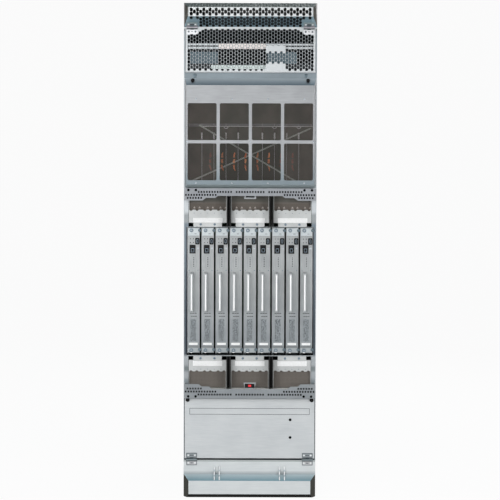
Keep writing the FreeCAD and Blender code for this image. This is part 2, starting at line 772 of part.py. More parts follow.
# Middles of the notches in a filter's free edge, in pairs
def notch_places():
    places = []
    for pair in range(NOTCH_PAIRS):
        middle = (pair - (NOTCH_PAIRS - 1) / 2) * NOTCH_PAIR_PITCH
        places += [middle - NOTCH_SPACING / 2, middle + NOTCH_SPACING / 2]
    return places


# One filter: its tab lies on the cage's edge at root_z, and it runs up or down from there
def air_filter(i, root_z, way, face_h, bay_h):
    x = filter_x(i)
    half = FILTER_W / 2
    tab = FILTER_TAB_W / 2
    foot = root_z + way * FILTER_TAB_H
    tip = foot + way * face_h
    notch = tip - way * NOTCH_H
    edge = []
    for c in notch_places():
        edge += [(c - NOTCH_W / 2, tip), (c - NOTCH_W / 4, notch), (c + NOTCH_W / 4, notch), (c + NOTCH_W / 2, tip)]
    outline = [(-half, tip)] + edge + [(half, tip), (half, foot), (tab, foot), (tab, root_z), (-tab, root_z),
                                       (-tab, foot), (-half, foot)]
    face = extrude_xz([(x + dx, z) for dx, z in outline], FRAME_Y - SHEET, FRAME_Y)
    y1 = FRAME_Y + FILTER_DEPTH
    end = root_z + way * (bay_h - SEAT_GAP)
    tray = block(x - half, x + half, FRAME_Y, y1, foot, end)
    bed = y1 - MEDIA_T
    tray = tray.cut(block(x - half + SHEET, x + half - SHEET, FRAME_Y, bed, foot + way * SHEET, end))
    return face.fuse(tray).removeSplitter()


# Dark channels between the filters, open to the front
def filter_dividers():
    channels = []
    y0 = FRAME_Y - DIVIDER_REACH
    y1 = FRAME_Y + FILTER_DEPTH
    for i in range(FILTER_COUNT - 1):
        x = (filter_x(i) + filter_x(i + 1)) / 2
        a = DIVIDER_W / 2
        b = a - DIVIDER_WALL
        bed = y1 - DIVIDER_WALL
        outline = [(x - a, y0), (x - b, y0), (x - b, bed), (x + b, bed), (x + b, y0), (x + a, y0), (x + a, y1),
                   (x - a, y1)]
        channels.append(extrude_xy(outline, LOWER_SHELF_Z, CAGE_FLOOR_Z))
        channels.append(extrude_xy(outline, UPPER_BAY_Z, UPPER_SHELF_Z))
    return group(channels)


# Switch boards

def board_x(k):
    return (k - (BOARD_COUNT - 1) / 2) * BOARD_PITCH


# The circuit board is screwed to the inside of the left return
def circuit_span(k):
    x0 = board_x(k) - FACE_W / 2 + FACE_SHEET
    return x0, x0 + CIRCUIT_T


# Pivot of a lever as (y, z)
def lever_axis(upper):
    r = LEVER_T / 2
    z = BOARD_TOP - r - SEAT_GAP if upper else BOARD_Z + r + SEAT_GAP
    return FRAME_Y + r, z


# Faceplate folded to a channel, with a window at each end where a lever sits between the returns
def faceplate(k):
    x = board_x(k)
    a = FACE_W / 2
    b = a - FACE_SHEET
    y0 = FRAME_Y
    y1 = FRAME_Y + FACE_RETURN
    bed = y0 + FACE_SHEET
    outline = [(x - a, y0), (x + a, y0), (x + a, y1), (x + b, y1), (x + b, bed), (x - b, bed), (x - b, y1),
               (x - a, y1)]
    channel = extrude_xy(outline, BOARD_Z, BOARD_TOP)
    for z0, z1 in ((BOARD_Z - SHEET, PLATE_Z), (PLATE_TOP, BOARD_TOP + SHEET)):
        channel = channel.cut(block(x - b, x + b, y0 - SHEET, bed, z0, z1))
    return channel


# Bent bar handle that stands off the faceplate on raked legs
def board_handle(k):
    x = board_x(k) + HANDLE_OFFSET
    z0 = PLATE_Z + HANDLE_OVER_PLATE_FOOT
    z1 = z0 + HANDLE_H
    y = FRAME_Y
    out = y - HANDLE_REACH
    bar = out + HANDLE_BAR
    inset = HANDLE_RAKE + HANDLE_BAR / 2
    outline = [(y, z0), (out, z0 + HANDLE_RAKE), (out, z1 - HANDLE_RAKE), (y, z1), (y, z1 - HANDLE_BAR),
               (bar, z1 - inset), (bar, z0 + inset), (y, z0 + HANDLE_BAR)]
    return extrude_yz(outline, x - HANDLE_W / 2, x + HANDLE_W / 2)


# Finned heat sink on the circuit board
def heat_sink(k):
    x0 = circuit_span(k)[1]
    root = x0 + SINK_BASE
    tip = x0 + SINK_H
    y0 = CIRCUIT_Y + SINK_MARGIN
    y1 = MIDPLANE_Y - SINK_MARGIN
    step = (y1 - y0) / (2 * SINK_FINS - 1)
    comb = [(x0, y0)]
    for n in range(SINK_FINS):
        near = y0 + 2 * n * step
        comb += [(tip, near), (tip, near + step)]
        if n < SINK_FINS - 1:
            comb += [(root, near + step), (root, near + 2 * step)]
    comb.append((x0, y1))
    return extrude_xy(comb, PLATE_Z + SINK_MARGIN, PLATE_TOP - SINK_MARGIN)


def switch_board(k):
    x0, x1 = circuit_span(k)
    rear = MIDPLANE_Y - SEAT_GAP
    circuit = block(x0, x1, CIRCUIT_Y, rear, BOARD_Z + SEAT_GAP, BOARD_TOP - SEAT_GAP)
    plug = block(x1, x1 + PLUG_H, rear - PLUG_DEPTH, rear, PLATE_Z, PLATE_TOP)
    return group([faceplate(k), circuit, heat_sink(k), plug, board_handle(k)])


# Ejector lever: a flat grip that is rounded about its pivot
def lever(k, upper):
    x0 = board_x(k) - LEVER_W / 2
    x1 = x0 + LEVER_W
    y, z = lever_axis(upper)
    tip = PLATE_TOP + LEVER_GAP if upper else PLATE_Z - LEVER_GAP
    grip = block(x0, x1, FRAME_Y, FRAME_Y + LEVER_T, tip, z)
    barrel = Part.makeCylinder(LEVER_T / 2, LEVER_W, vec(x0, y, z), vec(1, 0, 0))
    return grip.fuse(barrel).removeSplitter()


# Grooved guide that a circuit board's edge runs in
def board_guide(k, root_z, edge_z):
    x0, x1 = circuit_span(k)
    way = 1 if edge_z > root_z else -1
    lip = edge_z + way * GUIDE_GRIP
    a = GUIDE_BLOCK_W / 2
    middle = (x0 + x1) / 2
    x0 -= SEAT_GAP
    x1 += SEAT_GAP
    outline = [(middle - a, root_z), (middle + a, root_z), (middle + a, lip), (x1, lip), (x1, edge_z), (x0, edge_z),
               (x0, lip), (middle - a, lip)]
    return extrude_xz(outline, FRAME_Y + FACE_RETURN + SEAT_GAP, MIDPLANE_Y)


# Floor and roof plates of the board bay with a grooved guide for each edge of each board
def board_cage():
    members = []
    for z, t in ((CAGE_FLOOR_Z, CAGE_FLOOR_T), (CAGE_ROOF_Z, SHEET)):
        members.append(block(-INNER, INNER, FRAME_Y, FRAME_Y + SHEET, z, z + t))
        members.append(block(-PANEL_X + SHEET, PANEL_X - SHEET, FRAME_Y + SHEET, MIDPLANE_Y, z, z + t))
    for k in range(BOARD_COUNT):
        members.append(board_guide(k, CAGE_FLOOR_TOP, BOARD_Z))
        members.append(board_guide(k, CAGE_ROOF_Z, BOARD_TOP))
    return group(members)


# Fan trays

# Quarter openings round a fan's hub, between the spokes that carry it
def fan_openings(cx, cy, z):
    low = z - 2 * TRAY_WALL
    high = z + 3 * TRAY_WALL
    a = FAN_SPOKE_W / 2
    ring = [(cx + x, cy + y) for x, y in ring_points(FAN_SIDES, FAN_R)]
    hub = [(cx + x, cy + y) for x, y in ring_points(FAN_SIDES, FAN_HUB_R)]
    spokes = [block(cx - FAN_R, cx + FAN_R, cy - a, cy + a, low, high),
              block(cx - a, cx + a, cy - FAN_R, cy + FAN_R, low, high)]
    opening = extrude_xy(ring, z - TRAY_WALL, z + 2 * TRAY_WALL)
    return opening.cut([extrude_xy(hub, low, high)] + spokes)


# Slide-in tray: an open box whose deck carries a row of fan motors, with a lip along its front
def fan_tray(index):
    z = tray_levels()[index]
    x = PANEL_X - TRAY_PLAY
    y0 = FRAME_Y + TRAY_SETBACK
    y1 = y0 + TRAY_DEPTH
    tray = block(-x, x, y0, y1, z, z + TRAY_H)
    tray = tray.cut(block(-x + TRAY_WALL, x - TRAY_WALL, y0 + TRAY_WALL, y1 - TRAY_WALL, z + TRAY_WALL,
                          z + TRAY_H + TRAY_WALL))
    tray = tray.fuse(block(-x, x, y0 - TRAY_WALL, y0, z, z + TRAY_LIP_H)).removeSplitter()
    hubs = []
    openings = []
    for i in range(FAN_COUNT):
        cx = (i - (FAN_COUNT - 1) / 2) * 2 * x / FAN_COUNT
        cy = (y0 + y1) / 2
        openings.append(fan_openings(cx, cy, z))
        hub = [(cx + dx, cy + dy) for dx, dy in ring_points(FAN_SIDES, FAN_HUB_R)]
        hubs.append(extrude_xy(hub, z + TRAY_WALL, z + TRAY_WALL + FAN_HUB_H))
    return group([tray.cut(openings)] + hubs)


def nodes():
    made = {
        "base_frame": base_frame(),
        "roof_panel": roof_panel(),
        "side_panel_right": side_panel(),
        "side_panel_left": mirror_x(side_panel()),
        "rear_panel": rear_panel(),
        "chassis_frame": chassis_frame(),
        "alarm_lamps": alarm_lamps(),
        "hood_cover": hood_cover(),
        "kick_cover": kick_cover(),
        "fan_door": fan_door(),
        "fan_door_hinge_leaves": door_leaves(UPPER_AXIS_Z, -1),
        "lower_door": lower_door(),
        "lower_door_hinge_leaves": door_leaves(LOWER_AXIS_Z, 1),
        "hinge_fixed_leaves": hinge_fixed_leaves(),
        "hinge_pins": hinge_pins(),
        "mesh_panel": mesh_panel(),
        "mesh_screen": mesh_screen(),
        "card_cage": card_cage(),
        "midplane": midplane(),
        "upper_cable_bracket": cable_bracket(UPPER_BRACKET_TOP, -1, UPPER_BRACKET_H, UPPER_BRACKET_STEPS),
        "lower_cable_bracket": cable_bracket(LOWER_BRACKET_Z, 1, LOWER_BRACKET_H, LOWER_BRACKET_STEPS),
        "filter_dividers": filter_dividers(),
        "board_cage": board_cage(),
    }
    for i in range(FILTER_COUNT):
        made[f"upper_filter_{i + 1}"] = air_filter(i, UPPER_BAY_Z, 1, UPPER_FACE_H, UPPER_BAY_H)
        made[f"lower_filter_{i + 1}"] = air_filter(i, CAGE_FLOOR_Z, -1, LOWER_FACE_H, LOWER_BAY_H)
    for k in range(BOARD_COUNT):
        made[f"switch_board_{k + 1}"] = switch_board(k)
        made[f"upper_lever_{k + 1}"] = lever(k, True)
        made[f"lower_lever_{k + 1}"] = lever(k, False)
    for index in range(len(tray_levels())):
        made[f"fan_tray_{index + 1}"] = fan_tray(index)
    return made


def main():
    os.makedirs("parts", exist_ok=True)
    for name, shape in nodes().items():
        shape.exportStep("parts/" + name + ".step")
    print("height", round(HEIGHT, 2), "width", round(2 * HALF, 2))
    print("door axes: y", HINGE_AXIS_Y, "z", LOWER_AXIS_Z, UPPER_AXIS_Z)
    print("lever axes:", lever_axis(True), lever_axis(False))


main()
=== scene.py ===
import functools
import math

import bmesh
import bpy
import numpy as np
from mathutils import Matrix


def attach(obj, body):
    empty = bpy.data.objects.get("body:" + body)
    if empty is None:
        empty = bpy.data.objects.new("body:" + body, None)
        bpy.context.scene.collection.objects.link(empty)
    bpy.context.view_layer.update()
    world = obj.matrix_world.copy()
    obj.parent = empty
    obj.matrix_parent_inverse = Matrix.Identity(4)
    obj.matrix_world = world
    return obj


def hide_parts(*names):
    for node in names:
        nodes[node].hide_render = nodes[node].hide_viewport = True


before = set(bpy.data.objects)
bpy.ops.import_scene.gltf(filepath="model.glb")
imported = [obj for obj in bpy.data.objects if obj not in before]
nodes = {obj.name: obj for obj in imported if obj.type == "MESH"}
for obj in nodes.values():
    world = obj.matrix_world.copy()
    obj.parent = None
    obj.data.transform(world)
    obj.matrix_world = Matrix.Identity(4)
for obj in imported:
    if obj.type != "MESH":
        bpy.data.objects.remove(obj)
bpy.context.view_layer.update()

mm = 0.001
print("frame loaded,", len(nodes), "nodes")


# colours and node building

def hexColour(text):
    # sRGB hex to linear: the lower part of the curve is straight, the rest a 2.4 power
    c = np.array([int(text[i:i + 2], 16) for i in (1, 3, 5)]) / 255
    lin = np.where(c <= 0.04045, c / 12.92, ((c + 0.055) / 1.055) ** 2.4)
    return (*lin.tolist(), 1.0)


def addNode(tree, kind, *inputs, **settings):
    # one node with its settings and links; inputs come in order or as one dictionary by name, where a node
    # stands for its first output and a hex text for its colour
    node = tree.nodes.new("ShaderNode" + kind)
    for key, value in settings.items():
        setattr(node, key, value)
    named = inputs[0] if inputs and isinstance(inputs[0], dict) else dict(enumerate(inputs))
    for key, value in named.items():
        if isinstance(value, bpy.types.Node):
            value = value.outputs[0]
        if isinstance(value, bpy.types.NodeSocket):
            tree.links.new(value, node.inputs[key])
        else:
            node.inputs[key].default_value = hexColour(value) if isinstance(value, str) else value
    return node


class Finish:
    # a material under way: place is the object coordinates, at is metres along X, Y and Z
    def __init__(self, name):
        self.made = bpy.data.materials.new(name)
        self.made.use_nodes = True
        self.made.node_tree.nodes.clear()
        self.add = functools.partial(addNode, self.made.node_tree)
        self.place = self.add("TexCoord").outputs["Object"]
        self.at = self.add("SeparateXYZ", self.place).outputs

    def facing(self, axis, kind="True Normal"):
        # how far the surface faces along one axis, from -1 to 1
        return self.add("SeparateXYZ", self.add("NewGeometry").outputs[kind]).outputs[axis]

    def clouds(self, size, detail, finer=(1, 1, 1)):
        # soft patches of so many mm, so many times finer along each axis
        spot = self.add("Mapping", {"Vector": self.place, "Scale": finer})
        return self.add("TexNoise", {"Vector": spot, "Scale": 1000 / size, "Detail": detail})

    def layers(self, colour, *tints):
        # each (mask, tint) laid over the last, as far as its mask goes
        for mask, tint in tints:
            colour = self.add("Mix", {0: mask, 6: colour, 7: tint}, data_type="RGBA").outputs[2]
        return colour

    def shade(self, pattern, dark, pale, low=0.3, high=0.7):
        # dark up to low, pale from high on, a straight run between
        return self.layers(dark, (self.add("MapRange", pattern, low, high, 0, 1), pale))

    def dimmed(self, colour, pattern, low, high):
        # the colour times a pattern that runs from low to high
        scale = self.add("MapRange", pattern, 0.3, 0.7, low, high)
        return self.add("VectorMath", {0: colour, "Scale": scale}, operation="SCALE")

    def close(self, colour, rough, metal=0.0, gloss=0.5, more=None):
        # the surface itself, made last
        shader = self.add("BsdfPrincipled", {"Base Color": colour, "Roughness": rough, "Metallic": metal,
                                             "Specular IOR Level": gloss, **(more or {})})
        self.add("OutputMaterial", {"Surface": shader})
        return self.made


# Zinc-plated steel, cold rolled: a pale grey with soft clouds, a faint grain along the roll and dull
# reflections; patch is (axis, middle, reach, tint), a stretch along the axis with a tint of its own
def zincSheet(name, pale, dark, metal=0.4, rough=(0.36, 0.5), grain=(1, 1, 14), cloud=90, patch=None):
    m = Finish(name)
    clouds = m.clouds(cloud, 4)
    lines = m.clouds(60, 3, grain)
    speck = m.add("TexVoronoi", {"Vector": m.place, "Scale": 1000 / 7}).outputs["Color"]
    rolled = m.add("Math", clouds, lines, operation="ADD")
    colour = m.shade(m.add("Math", speck, 0.16, rolled, operation="MULTIPLY_ADD"), dark, pale, 0.75, 1.4)
    if patch:
        axis, middle, reach, tint = patch
        colour = m.layers(colour, (m.add("Math", m.at[axis], middle, reach, operation="COMPARE"), tint))
    relief = m.add("Bump", {"Height": lines, "Strength": 0.05, "Distance": 0.001})
    return m.close(colour, m.add("MapRange", clouds, 0.3, 0.7, *rough), metal, more={"Normal": relief})


# Folded zinc sheet: the same plating, with painted light and shade set by the way each face turns: faces that
# look up take a tint that runs with height, faces that look down and slanted side faces take tints of their
# own, all of them painted light, shade and reflection; up is (height, tint, height, tint) and the tint runs
# between them; foot is (full height, end height, tint, lowest), a painted shade band full at one height and
# gone by the other, none below lowest; lip is (middle height, reach, tint), a painted shade band at a turned
# edge
def foldedZinc(name, pale, dark, up, down, side, foot=None, metal=0.4, lip=None):
    m = Finish(name)
    height = m.at["Z"]
    clouds = m.clouds(110, 4)
    lines = m.clouds(60, 3, (1, 1, 14))
    colour = m.shade(m.add("Math", clouds, lines, operation="ADD"), dark, pale, 0.7, 1.3)
    if foot:
        full, end, tint, lowest = foot
        fade = m.add("MapRange", height, full, end, 1, 0)
        clear = m.add("Math", height, lowest, operation="GREATER_THAN")
        colour = m.layers(colour, (m.add("Math", fade, clear, operation="MULTIPLY"), tint))
    if lip:
        middle, reach, tint = lip
        colour = m.layers(colour, (m.add("Math", height, middle, reach, operation="COMPARE"), tint))
    # painted light and shade by facing: faces that look up take the height-run tint, faces that look down
    # take down, slanted side faces take side
    rise = m.shade(height, up[1], up[3], up[0], up[2])
    facingUp = m.facing("Z")
    facingOut = m.add("Math", m.facing("X"), operation="ABSOLUTE")
    over = m.add("Math", facingUp, 0.3, operation="GREATER_THAN")
    under = m.add("Math", facingUp, -0.3, operation="LESS_THAN")
    turned = m.add("Math", facingOut, 0.3, operation="GREATER_THAN")
    slanted = m.add("Math", facingOut, 0.97, operation="LESS_THAN")
    beside = m.add("Math", turned, slanted, operation="MULTIPLY")
    colour = m.layers(colour, (over, rise), (under, down), (beside, side))
    dull = m.add("Math", under, beside, operation="MAXIMUM")
    relief = m.add("Bump", {"Height": lines, "Strength": 0.05, "Distance": 0.001})
    return m.close(colour, m.add("MapRange", clouds, 0.3, 0.7, 0.36, 0.5),
                   m.add("MapRange", dull, 0, 1, metal, 0), m.add("MapRange", dull, 0, 1, 0.5, 0.1),
                   {"Normal": relief})


# Baked powder paint: an even grey with the pebbled skin of the melt, crest is the mm from crest to crest;
# deep is (reach from the middle, height, tint), painted shade, darker in the middle below that height
def powderPaint(name, pale, dark, rough=0.45, crest=1.5, deep=None):
    m = Finish(name)
    clouds = m.clouds(70, 3)
    colour = m.shade(clouds, dark, pale)
    if deep:
        reach, height, tint = deep
        middle = m.add("Math", m.at["X"], 0, reach, operation="COMPARE")
        low = m.add("Math", m.at["Z"], height, operation="LESS_THAN")
        colour = m.layers(colour, (m.add("Math", middle, low, operation="MULTIPLY"), tint))
    relief = m.add("Bump", {"Height": m.clouds(crest, 2), "Strength": 0.12, "Distance": 0.0004})
    return m.close(colour, m.add("MapRange", clouds, 0.3, 0.7, rough - 0.05, rough + 0.06),
                   more={"Normal": relief})


# Moulded black nylon: deep grey-black with a fine spark texture and a weak sheen
def mouldedNylon(name, pale="#0f1011", dark="#050506", rough=0.5, gloss=0.22):
    m = Finish(name)
    spark = m.clouds(1.2, 2)
    relief = m.add("Bump", {"Height": spark, "Strength": 0.15, "Distance": 0.0003})
    return m.close(m.shade(spark, dark, pale), m.add("MapRange", spark, 0.3, 0.7, rough - 0.08, rough + 0.1),
                   gloss=gloss, more={"Normal": relief})


# Extruded black channel between the filters: satin black, a grey strip in the middle of the upper ones
def channelFinish(name):
    m = Finish(name)
    aside = m.add("Math", m.add("Math", m.at["X"], -0.0012, operation="ADD"), operation="ABSOLUTE")
    middle = m.add("Math", aside, 0.0972, 0.0014, operation="COMPARE")
    upper = m.add("Math", m.at["Z"], 1.2, operation="GREATER_THAN")
    strip = m.add("Math", middle, upper, operation="MULTIPLY")
    return m.close(m.layers(m.shade(m.clouds(3, 2), "#0d0d0c", "#1c1c1a"), (strip, "#7c7c78")), 0.55)


# Turned and nickel-plated steel: bright rings left by the tool, clean reflections
def turnedNickel(name, pale="#c3c8cd", dark="#8f979f", rough=0.24):
    m = Finish(name)
    rings = m.clouds(2.5, 3)
    return m.close(m.shade(rings, dark, pale), m.add("MapRange", rings, 0.3, 0.7, rough, rough + 0.16), 1.0)


# Drawn handle bar: a painted highlight along its front, painted duller round the sides, by the way each face
# turns
def drawnBar(name, highlight="#fbfbfa", dull="#a4a9ab"):
    m = Finish(name)
    across = m.add("Math", m.facing("X", "Normal"), operation="ABSOLUTE")
    rough = m.add("MapRange", m.clouds(25, 3), 0.3, 0.7, 0.3, 0.42)
    return m.close(m.shade(across, highlight, dull, 0.34, 0.56), rough, 0.3)


# Label stock, coated paper: warm white, faint fibre clouds, hardly any gloss
def coatedPaper(name, pale, dark, fibre=9):
    m = Finish(name)
    return m.close(m.shade(m.clouds(fibre, 5), dark, pale, 0.35, 0.65), 0.55)


# Printed field: ink dots 4 mm apart on the sheet, read from a step away as a soft grey patch
def printedField(name, ink, ground, dot=4.0):
    m = Finish(name)
    dots = m.add("TexVoronoi", {"Vector": m.place, "Scale": 1000 / dot, "Randomness": 0.7})
    return m.close(m.shade(dots, ink, ground, 0.28, 0.5), 0.5, 0.25)


# Welded frame in zinc, its tone set by height as painted light and shade: slate-blue posts beside the boards,
# painted pale beside the filters and behind the intake panel, painted dark as shade in the door gaps and
# inside the fan bay, grey on the shelves with a painted highlight on their tops and painted black shade on
# their rims behind the tie holes; each step is (from, to, tint) and fades in
def weldedFrame(name, base, steps, front, top):
    m = Finish(name)
    clouds = m.clouds(90, 4)
    colour = m.layers(base, *[(m.add("MapRange", m.at["Z"], low, high, 0, 1), tint)
                              for low, high, tint in steps])
    ahead = m.add("Math", m.at["Y"], -0.4385, operation="LESS_THAN")
    level = m.add("Math", m.facing("Z"), 0.5, operation="GREATER_THAN")
    shelf = m.add("Math", level, ahead, operation="MULTIPLY")
    rim = m.add("Math", m.at["Y"], -0.4978, operation="LESS_THAN")
    deep = m.add("Math", m.at["Y"], -0.4365, operation="GREATER_THAN")
    high = m.add("Math", m.at["Z"], 1.955, operation="GREATER_THAN")
    within = m.add("Math", deep, high, operation="MULTIPLY")
    # painted light and shade: a highlight on the shelf tops, black shade on the rims and inside the fan bay
    colour = m.layers(colour, (ahead, front), (shelf, top), (rim, "#08090a"), (within, "#0c0e0f"))
    paintedBlack = m.add("Math", within, rim, operation="MAXIMUM")
    return m.close(m.dimmed(colour, clouds, 0.84, 1.06), m.add("MapRange", clouds, 0.3, 0.7, 0.38, 0.52),
                   m.add("MapRange", shelf, 0, 1, 0.35, 0), m.add("MapRange", paintedBlack, 0, 1, 0.5, 0.06))


# Rolled hinge steel: pressed leaves, greyer on the doors' lower pair, knuckles with painted dark shade lines
# and pale painted highlight bands along them; each band is (middle height, reach, tint)
def rolledHinge(name, bands):
    m = Finish(name)
    grain = m.clouds(6, 3)
    colour = m.layers(m.shade(grain, "#c0c5c7", "#d6dadb"),
                      *[(m.add("Math", m.at["Z"], middle, reach, operation="COMPARE"), tint)
                        for middle, reach, tint in bands])
    return m.close(colour, m.add("MapRange", grain, 0.3, 0.7, 0.34, 0.46), 0.45)


# Epoxy glass laminate: green solder mask with darker copper runs 4 mm apart
def glassLaminate(name, mask="#2f4a35", copper="#243a2c"):
    m = Finish(name)
    runs = m.add("TexBrick", {"Vector": m.place, "Color1": mask, "Color2": copper, "Mortar": "#3d5a41",
                              "Scale": 1000 / 8, "Mortar Size": 0.03})
    return m.close(runs, 0.4)


# Switch board as one node: zinc face painted darker towards its foot as shade, bright drawn handle in front,
# laminate and alloy sink behind the face
def boardFinish(name):
    m = Finish(name)
    inFront = m.add("Math", m.at["Y"], -0.4384, operation="LESS_THAN")
    behind = m.add("Math", m.at["Y"], -0.4235, operation="GREATER_THAN")
    clouds = m.clouds(60, 4)
    lines = m.clouds(40, 3, (12, 12, 1))
    rolled = m.add("Math", clouds, lines, operation="ADD")
    foot, head, bar, back = (m.shade(rolled, dark, pale, 0.7, 1.3) for dark, pale in
                             (("#868b8e", "#94999c"), ("#999c9d", "#a9acac"), ("#c5c8c9", "#d8dbdb"),
                              ("#122018", "#1d3024")))
    # the face is painted darker towards its foot as shade
    colour = m.layers(m.shade(m.at["Z"], foot, head, 0.72, 0.98), (inFront, bar), (behind, back))
    relief = m.add("Bump", {"Height": lines, "Strength": 0.05, "Distance": 0.001})
    return m.close(colour, m.add("MapRange", clouds, 0.3, 0.7, 0.34, 0.48),
                   m.add("MapRange", behind, 0, 1, 0.4, 0.1), more={"Normal": relief})


# Air filter as one node: zinc frame in front, brown-grey foam over a wire web behind, web drawn at 6 mm to
# show; the upper beds are browner below and painted darker grey near the top as shade under the bracket
def filterFinish(name):
    m = Finish(name)
    bed = m.add("Math", m.at["Y"], -0.4262, operation="GREATER_THAN")
    web = m.add("TexVoronoi", {"Vector": m.place, "Scale": 1000 / 6, "Randomness": 0.3},
                feature="DISTANCE_TO_EDGE")
    pores = m.add("MapRange", web, 0.02, 0.2, 0, 1)
    # the upper beds: painted shade near the top, under the bracket, browner below
    upper = m.add("MapRange", m.at["Z"], 1.3, 1.301, 0, 1)
    towardTop = m.add("MapRange", m.at["Z"], 1.35, 1.362, -0.75, 0.9)
    shadeRamp = m.add("Math", upper, towardTop, operation="MULTIPLY")
    grey = m.add("Math", shadeRamp, 0, operation="MAXIMUM")
    brown = m.add("Math", m.add("Math", shadeRamp, -1, operation="MULTIPLY"), 0, operation="MAXIMUM")
    foam = m.layers("#7d766f", (pores, "#68625c"), (grey, "#5e5d57"), (brown, "#665e57"))
    height = m.add("Math", pores, bed, operation="MULTIPLY")
    relief = m.add("Bump", {"Height": height, "Strength": 0.3, "Distance": 0.0006})
    return m.close(m.layers(m.shade(m.clouds(70, 4), "#b4b6b5", "#c6c8c7"), (bed, foam)),
                   m.add("MapRange", bed, 0, 1, 0.42, 0.85), m.add("MapRange", bed, 0, 1, 0.35, 0),
                   more={"Normal": relief})


# Fan tray as one node: bright folded lip in front, black-coated frame and motors behind, and on the lower
# tray of the upper bay two bare zinc fields in the front wall
def trayFinish(name):
    m = Finish(name)
    x, y, z = m.at
    lip = m.add("Math", y, -0.4245, operation="LESS_THAN")
    wall = m.add("Math", y, -0.4235, operation="LESS_THAN")
    lowTray = m.add("Math", z, 2.02, 0.03, operation="COMPARE")
    bare = m.add("Math", lowTray, wall, operation="MULTIPLY")
    coated = m.shade(m.clouds(45, 4), "#060708", "#101213")
    for middle, reach in ((-0.2135, 0.0635), (0.1445, 0.0665)):
        field = m.add("Math", x, middle, reach, operation="COMPARE")
        coated = m.layers(coated, (m.add("Math", field, bare, operation="MULTIPLY"), "#6b7c84"))
    high = m.add("Math", z, 2.02, operation="GREATER_THAN")
    lowEdge = m.add("Math", z, 1.9893, 0.0034, operation="COMPARE")
    highEdge = m.add("Math", z, 2.0722, 0.0037, operation="COMPARE")
    lowPress = m.add("Math", x, -0.054, 0.126, operation="COMPARE")
    highPress = m.add("Math", x, -0.037, 0.109, operation="COMPARE")
    pressed = m.layers("#e6f1ee", (high, "#fdf5f1"), (lowEdge, "#1c1f21"))
    ends = m.layers("#22262a", (high, m.layers("#e6eaec", (highEdge, "#1c1f21"))))
    folded = m.layers(ends, (m.layers(lowPress, (high, highPress)), pressed))
    return m.close(m.layers(coated, (lip, folded)), m.add("MapRange", lip, 0, 1, 0.6, 0.4),
                   m.add("MapRange", lip, 0, 1, 0, 0.3), m.add("MapRange", lip, 0, 1, 0.06, 0.5))


# Card cage as one node: pale flat braces in front of the line, duller zinc guides and rails behind
def cageFinish(name, brace="#c3cfc4", guide="#7d888b", lip="#c9cccc", line=-0.3962):
    m = Finish(name)
    clouds = m.clouds(40, 4)
    fromEdge = m.add("Math", m.at["X"], 0.0279, operation="PINGPONG")
    edge = m.add("Math", fromEdge, 0.0011, operation="LESS_THAN")
    rail = m.add("Math", m.at["Z"], 1.6915, 0.0135, operation="COMPARE")
    inFront = m.add("Math", m.at["Y"], line, operation="LESS_THAN")
    colour = m.layers(guide, (edge, lip), (rail, "#2b2c2c"), (inFront, brace))
    return m.close(m.dimmed(colour, clouds, 0.86, 1.06), m.add("MapRange", clouds, 0.3, 0.7, 0.38, 0.5), 0.2)


# Beryllium copper springs, rolled and tinned in part: warm orange with darker waves
def springCopper(name, pale="#ffb273", dark="#ec7440"):
    m = Finish(name)
    return m.close(m.shade(m.clouds(18, 3), dark, pale, 0.35, 0.65), 0.45, 0.3)


# Moulded red lamp lens, lit from behind: even red with a paler heart
def litLens(name):
    m = Finish(name)
    colour = m.shade(m.clouds(6, 2), "#c8141e", "#ee3338", 0.35, 0.65)
    return m.close(colour, 0.25, more={"Emission Color": colour, "Emission Strength": 0.45})


# kick cover: its slope painted paler towards the top as light, its under faces painted black as shade, its
# side chamfers painted dark as reflection, a painted shadow band low on the flange and a painted shade band
# below the door gap
kickZinc = foldedZinc("zincKickFolded", "#d9dddd", "#cfd3d4", (0.079, "#7fa6b2", 0.104, "#cbd8dc"),
                      "#050503", "#3c3b34", (0.104, 0.12, "#a3abae", 0.1), 0.25, (0.1655, 0.0048, "#b2b8b7"))
# roof: its under faces painted black as shade
roofZinc = foldedZinc("zincRoofFolded", "#b9bfc2", "#a8aeb2", (2.2, "#b0b6b9", 2.3, "#b0b6b9"),
                      "#050606", "#b0b6b9")
# intake panel: its top slope painted darker towards its foot as shade, its under slope painted pale as light,
# its slanted sides painted bright as highlight, its front painted darker towards its foot as shade above the
# bracket
panelZinc = foldedZinc("zincPanelFolded", "#a9abad", "#9a9c9e", (1.8915, "#546670", 1.9245, "#a7b1b7"),
                       "#b6c2c6", "#d6dadc", (1.452, 1.6, "#7d898f", 1.4))
# lower door: a painted shadow across its top strip, under the bracket
doorZinc = foldedZinc("zincDoorFolded", "#cdd0d1", "#c2c6c8", (0.0, "#c8cccd", 1.0, "#c8cccd"), "#c8cccd",
                      "#c8cccd", (0.4545, 0.4492, "#85898b", 0.4))
zincDoor = zincSheet("zincDoorSheet", "#cdd0d1", "#c2c6c8", cloud=140)
# fan door webs: painted darker than the plain sheet as shade, the upper ones more
zincWeb = zincSheet("zincDoorWebs", "#8d9294", "#82878a", cloud=140)
zincLowWeb = zincSheet("zincDoorLowWebs", "#b4b8ba", "#a9aeb0", cloud=140)
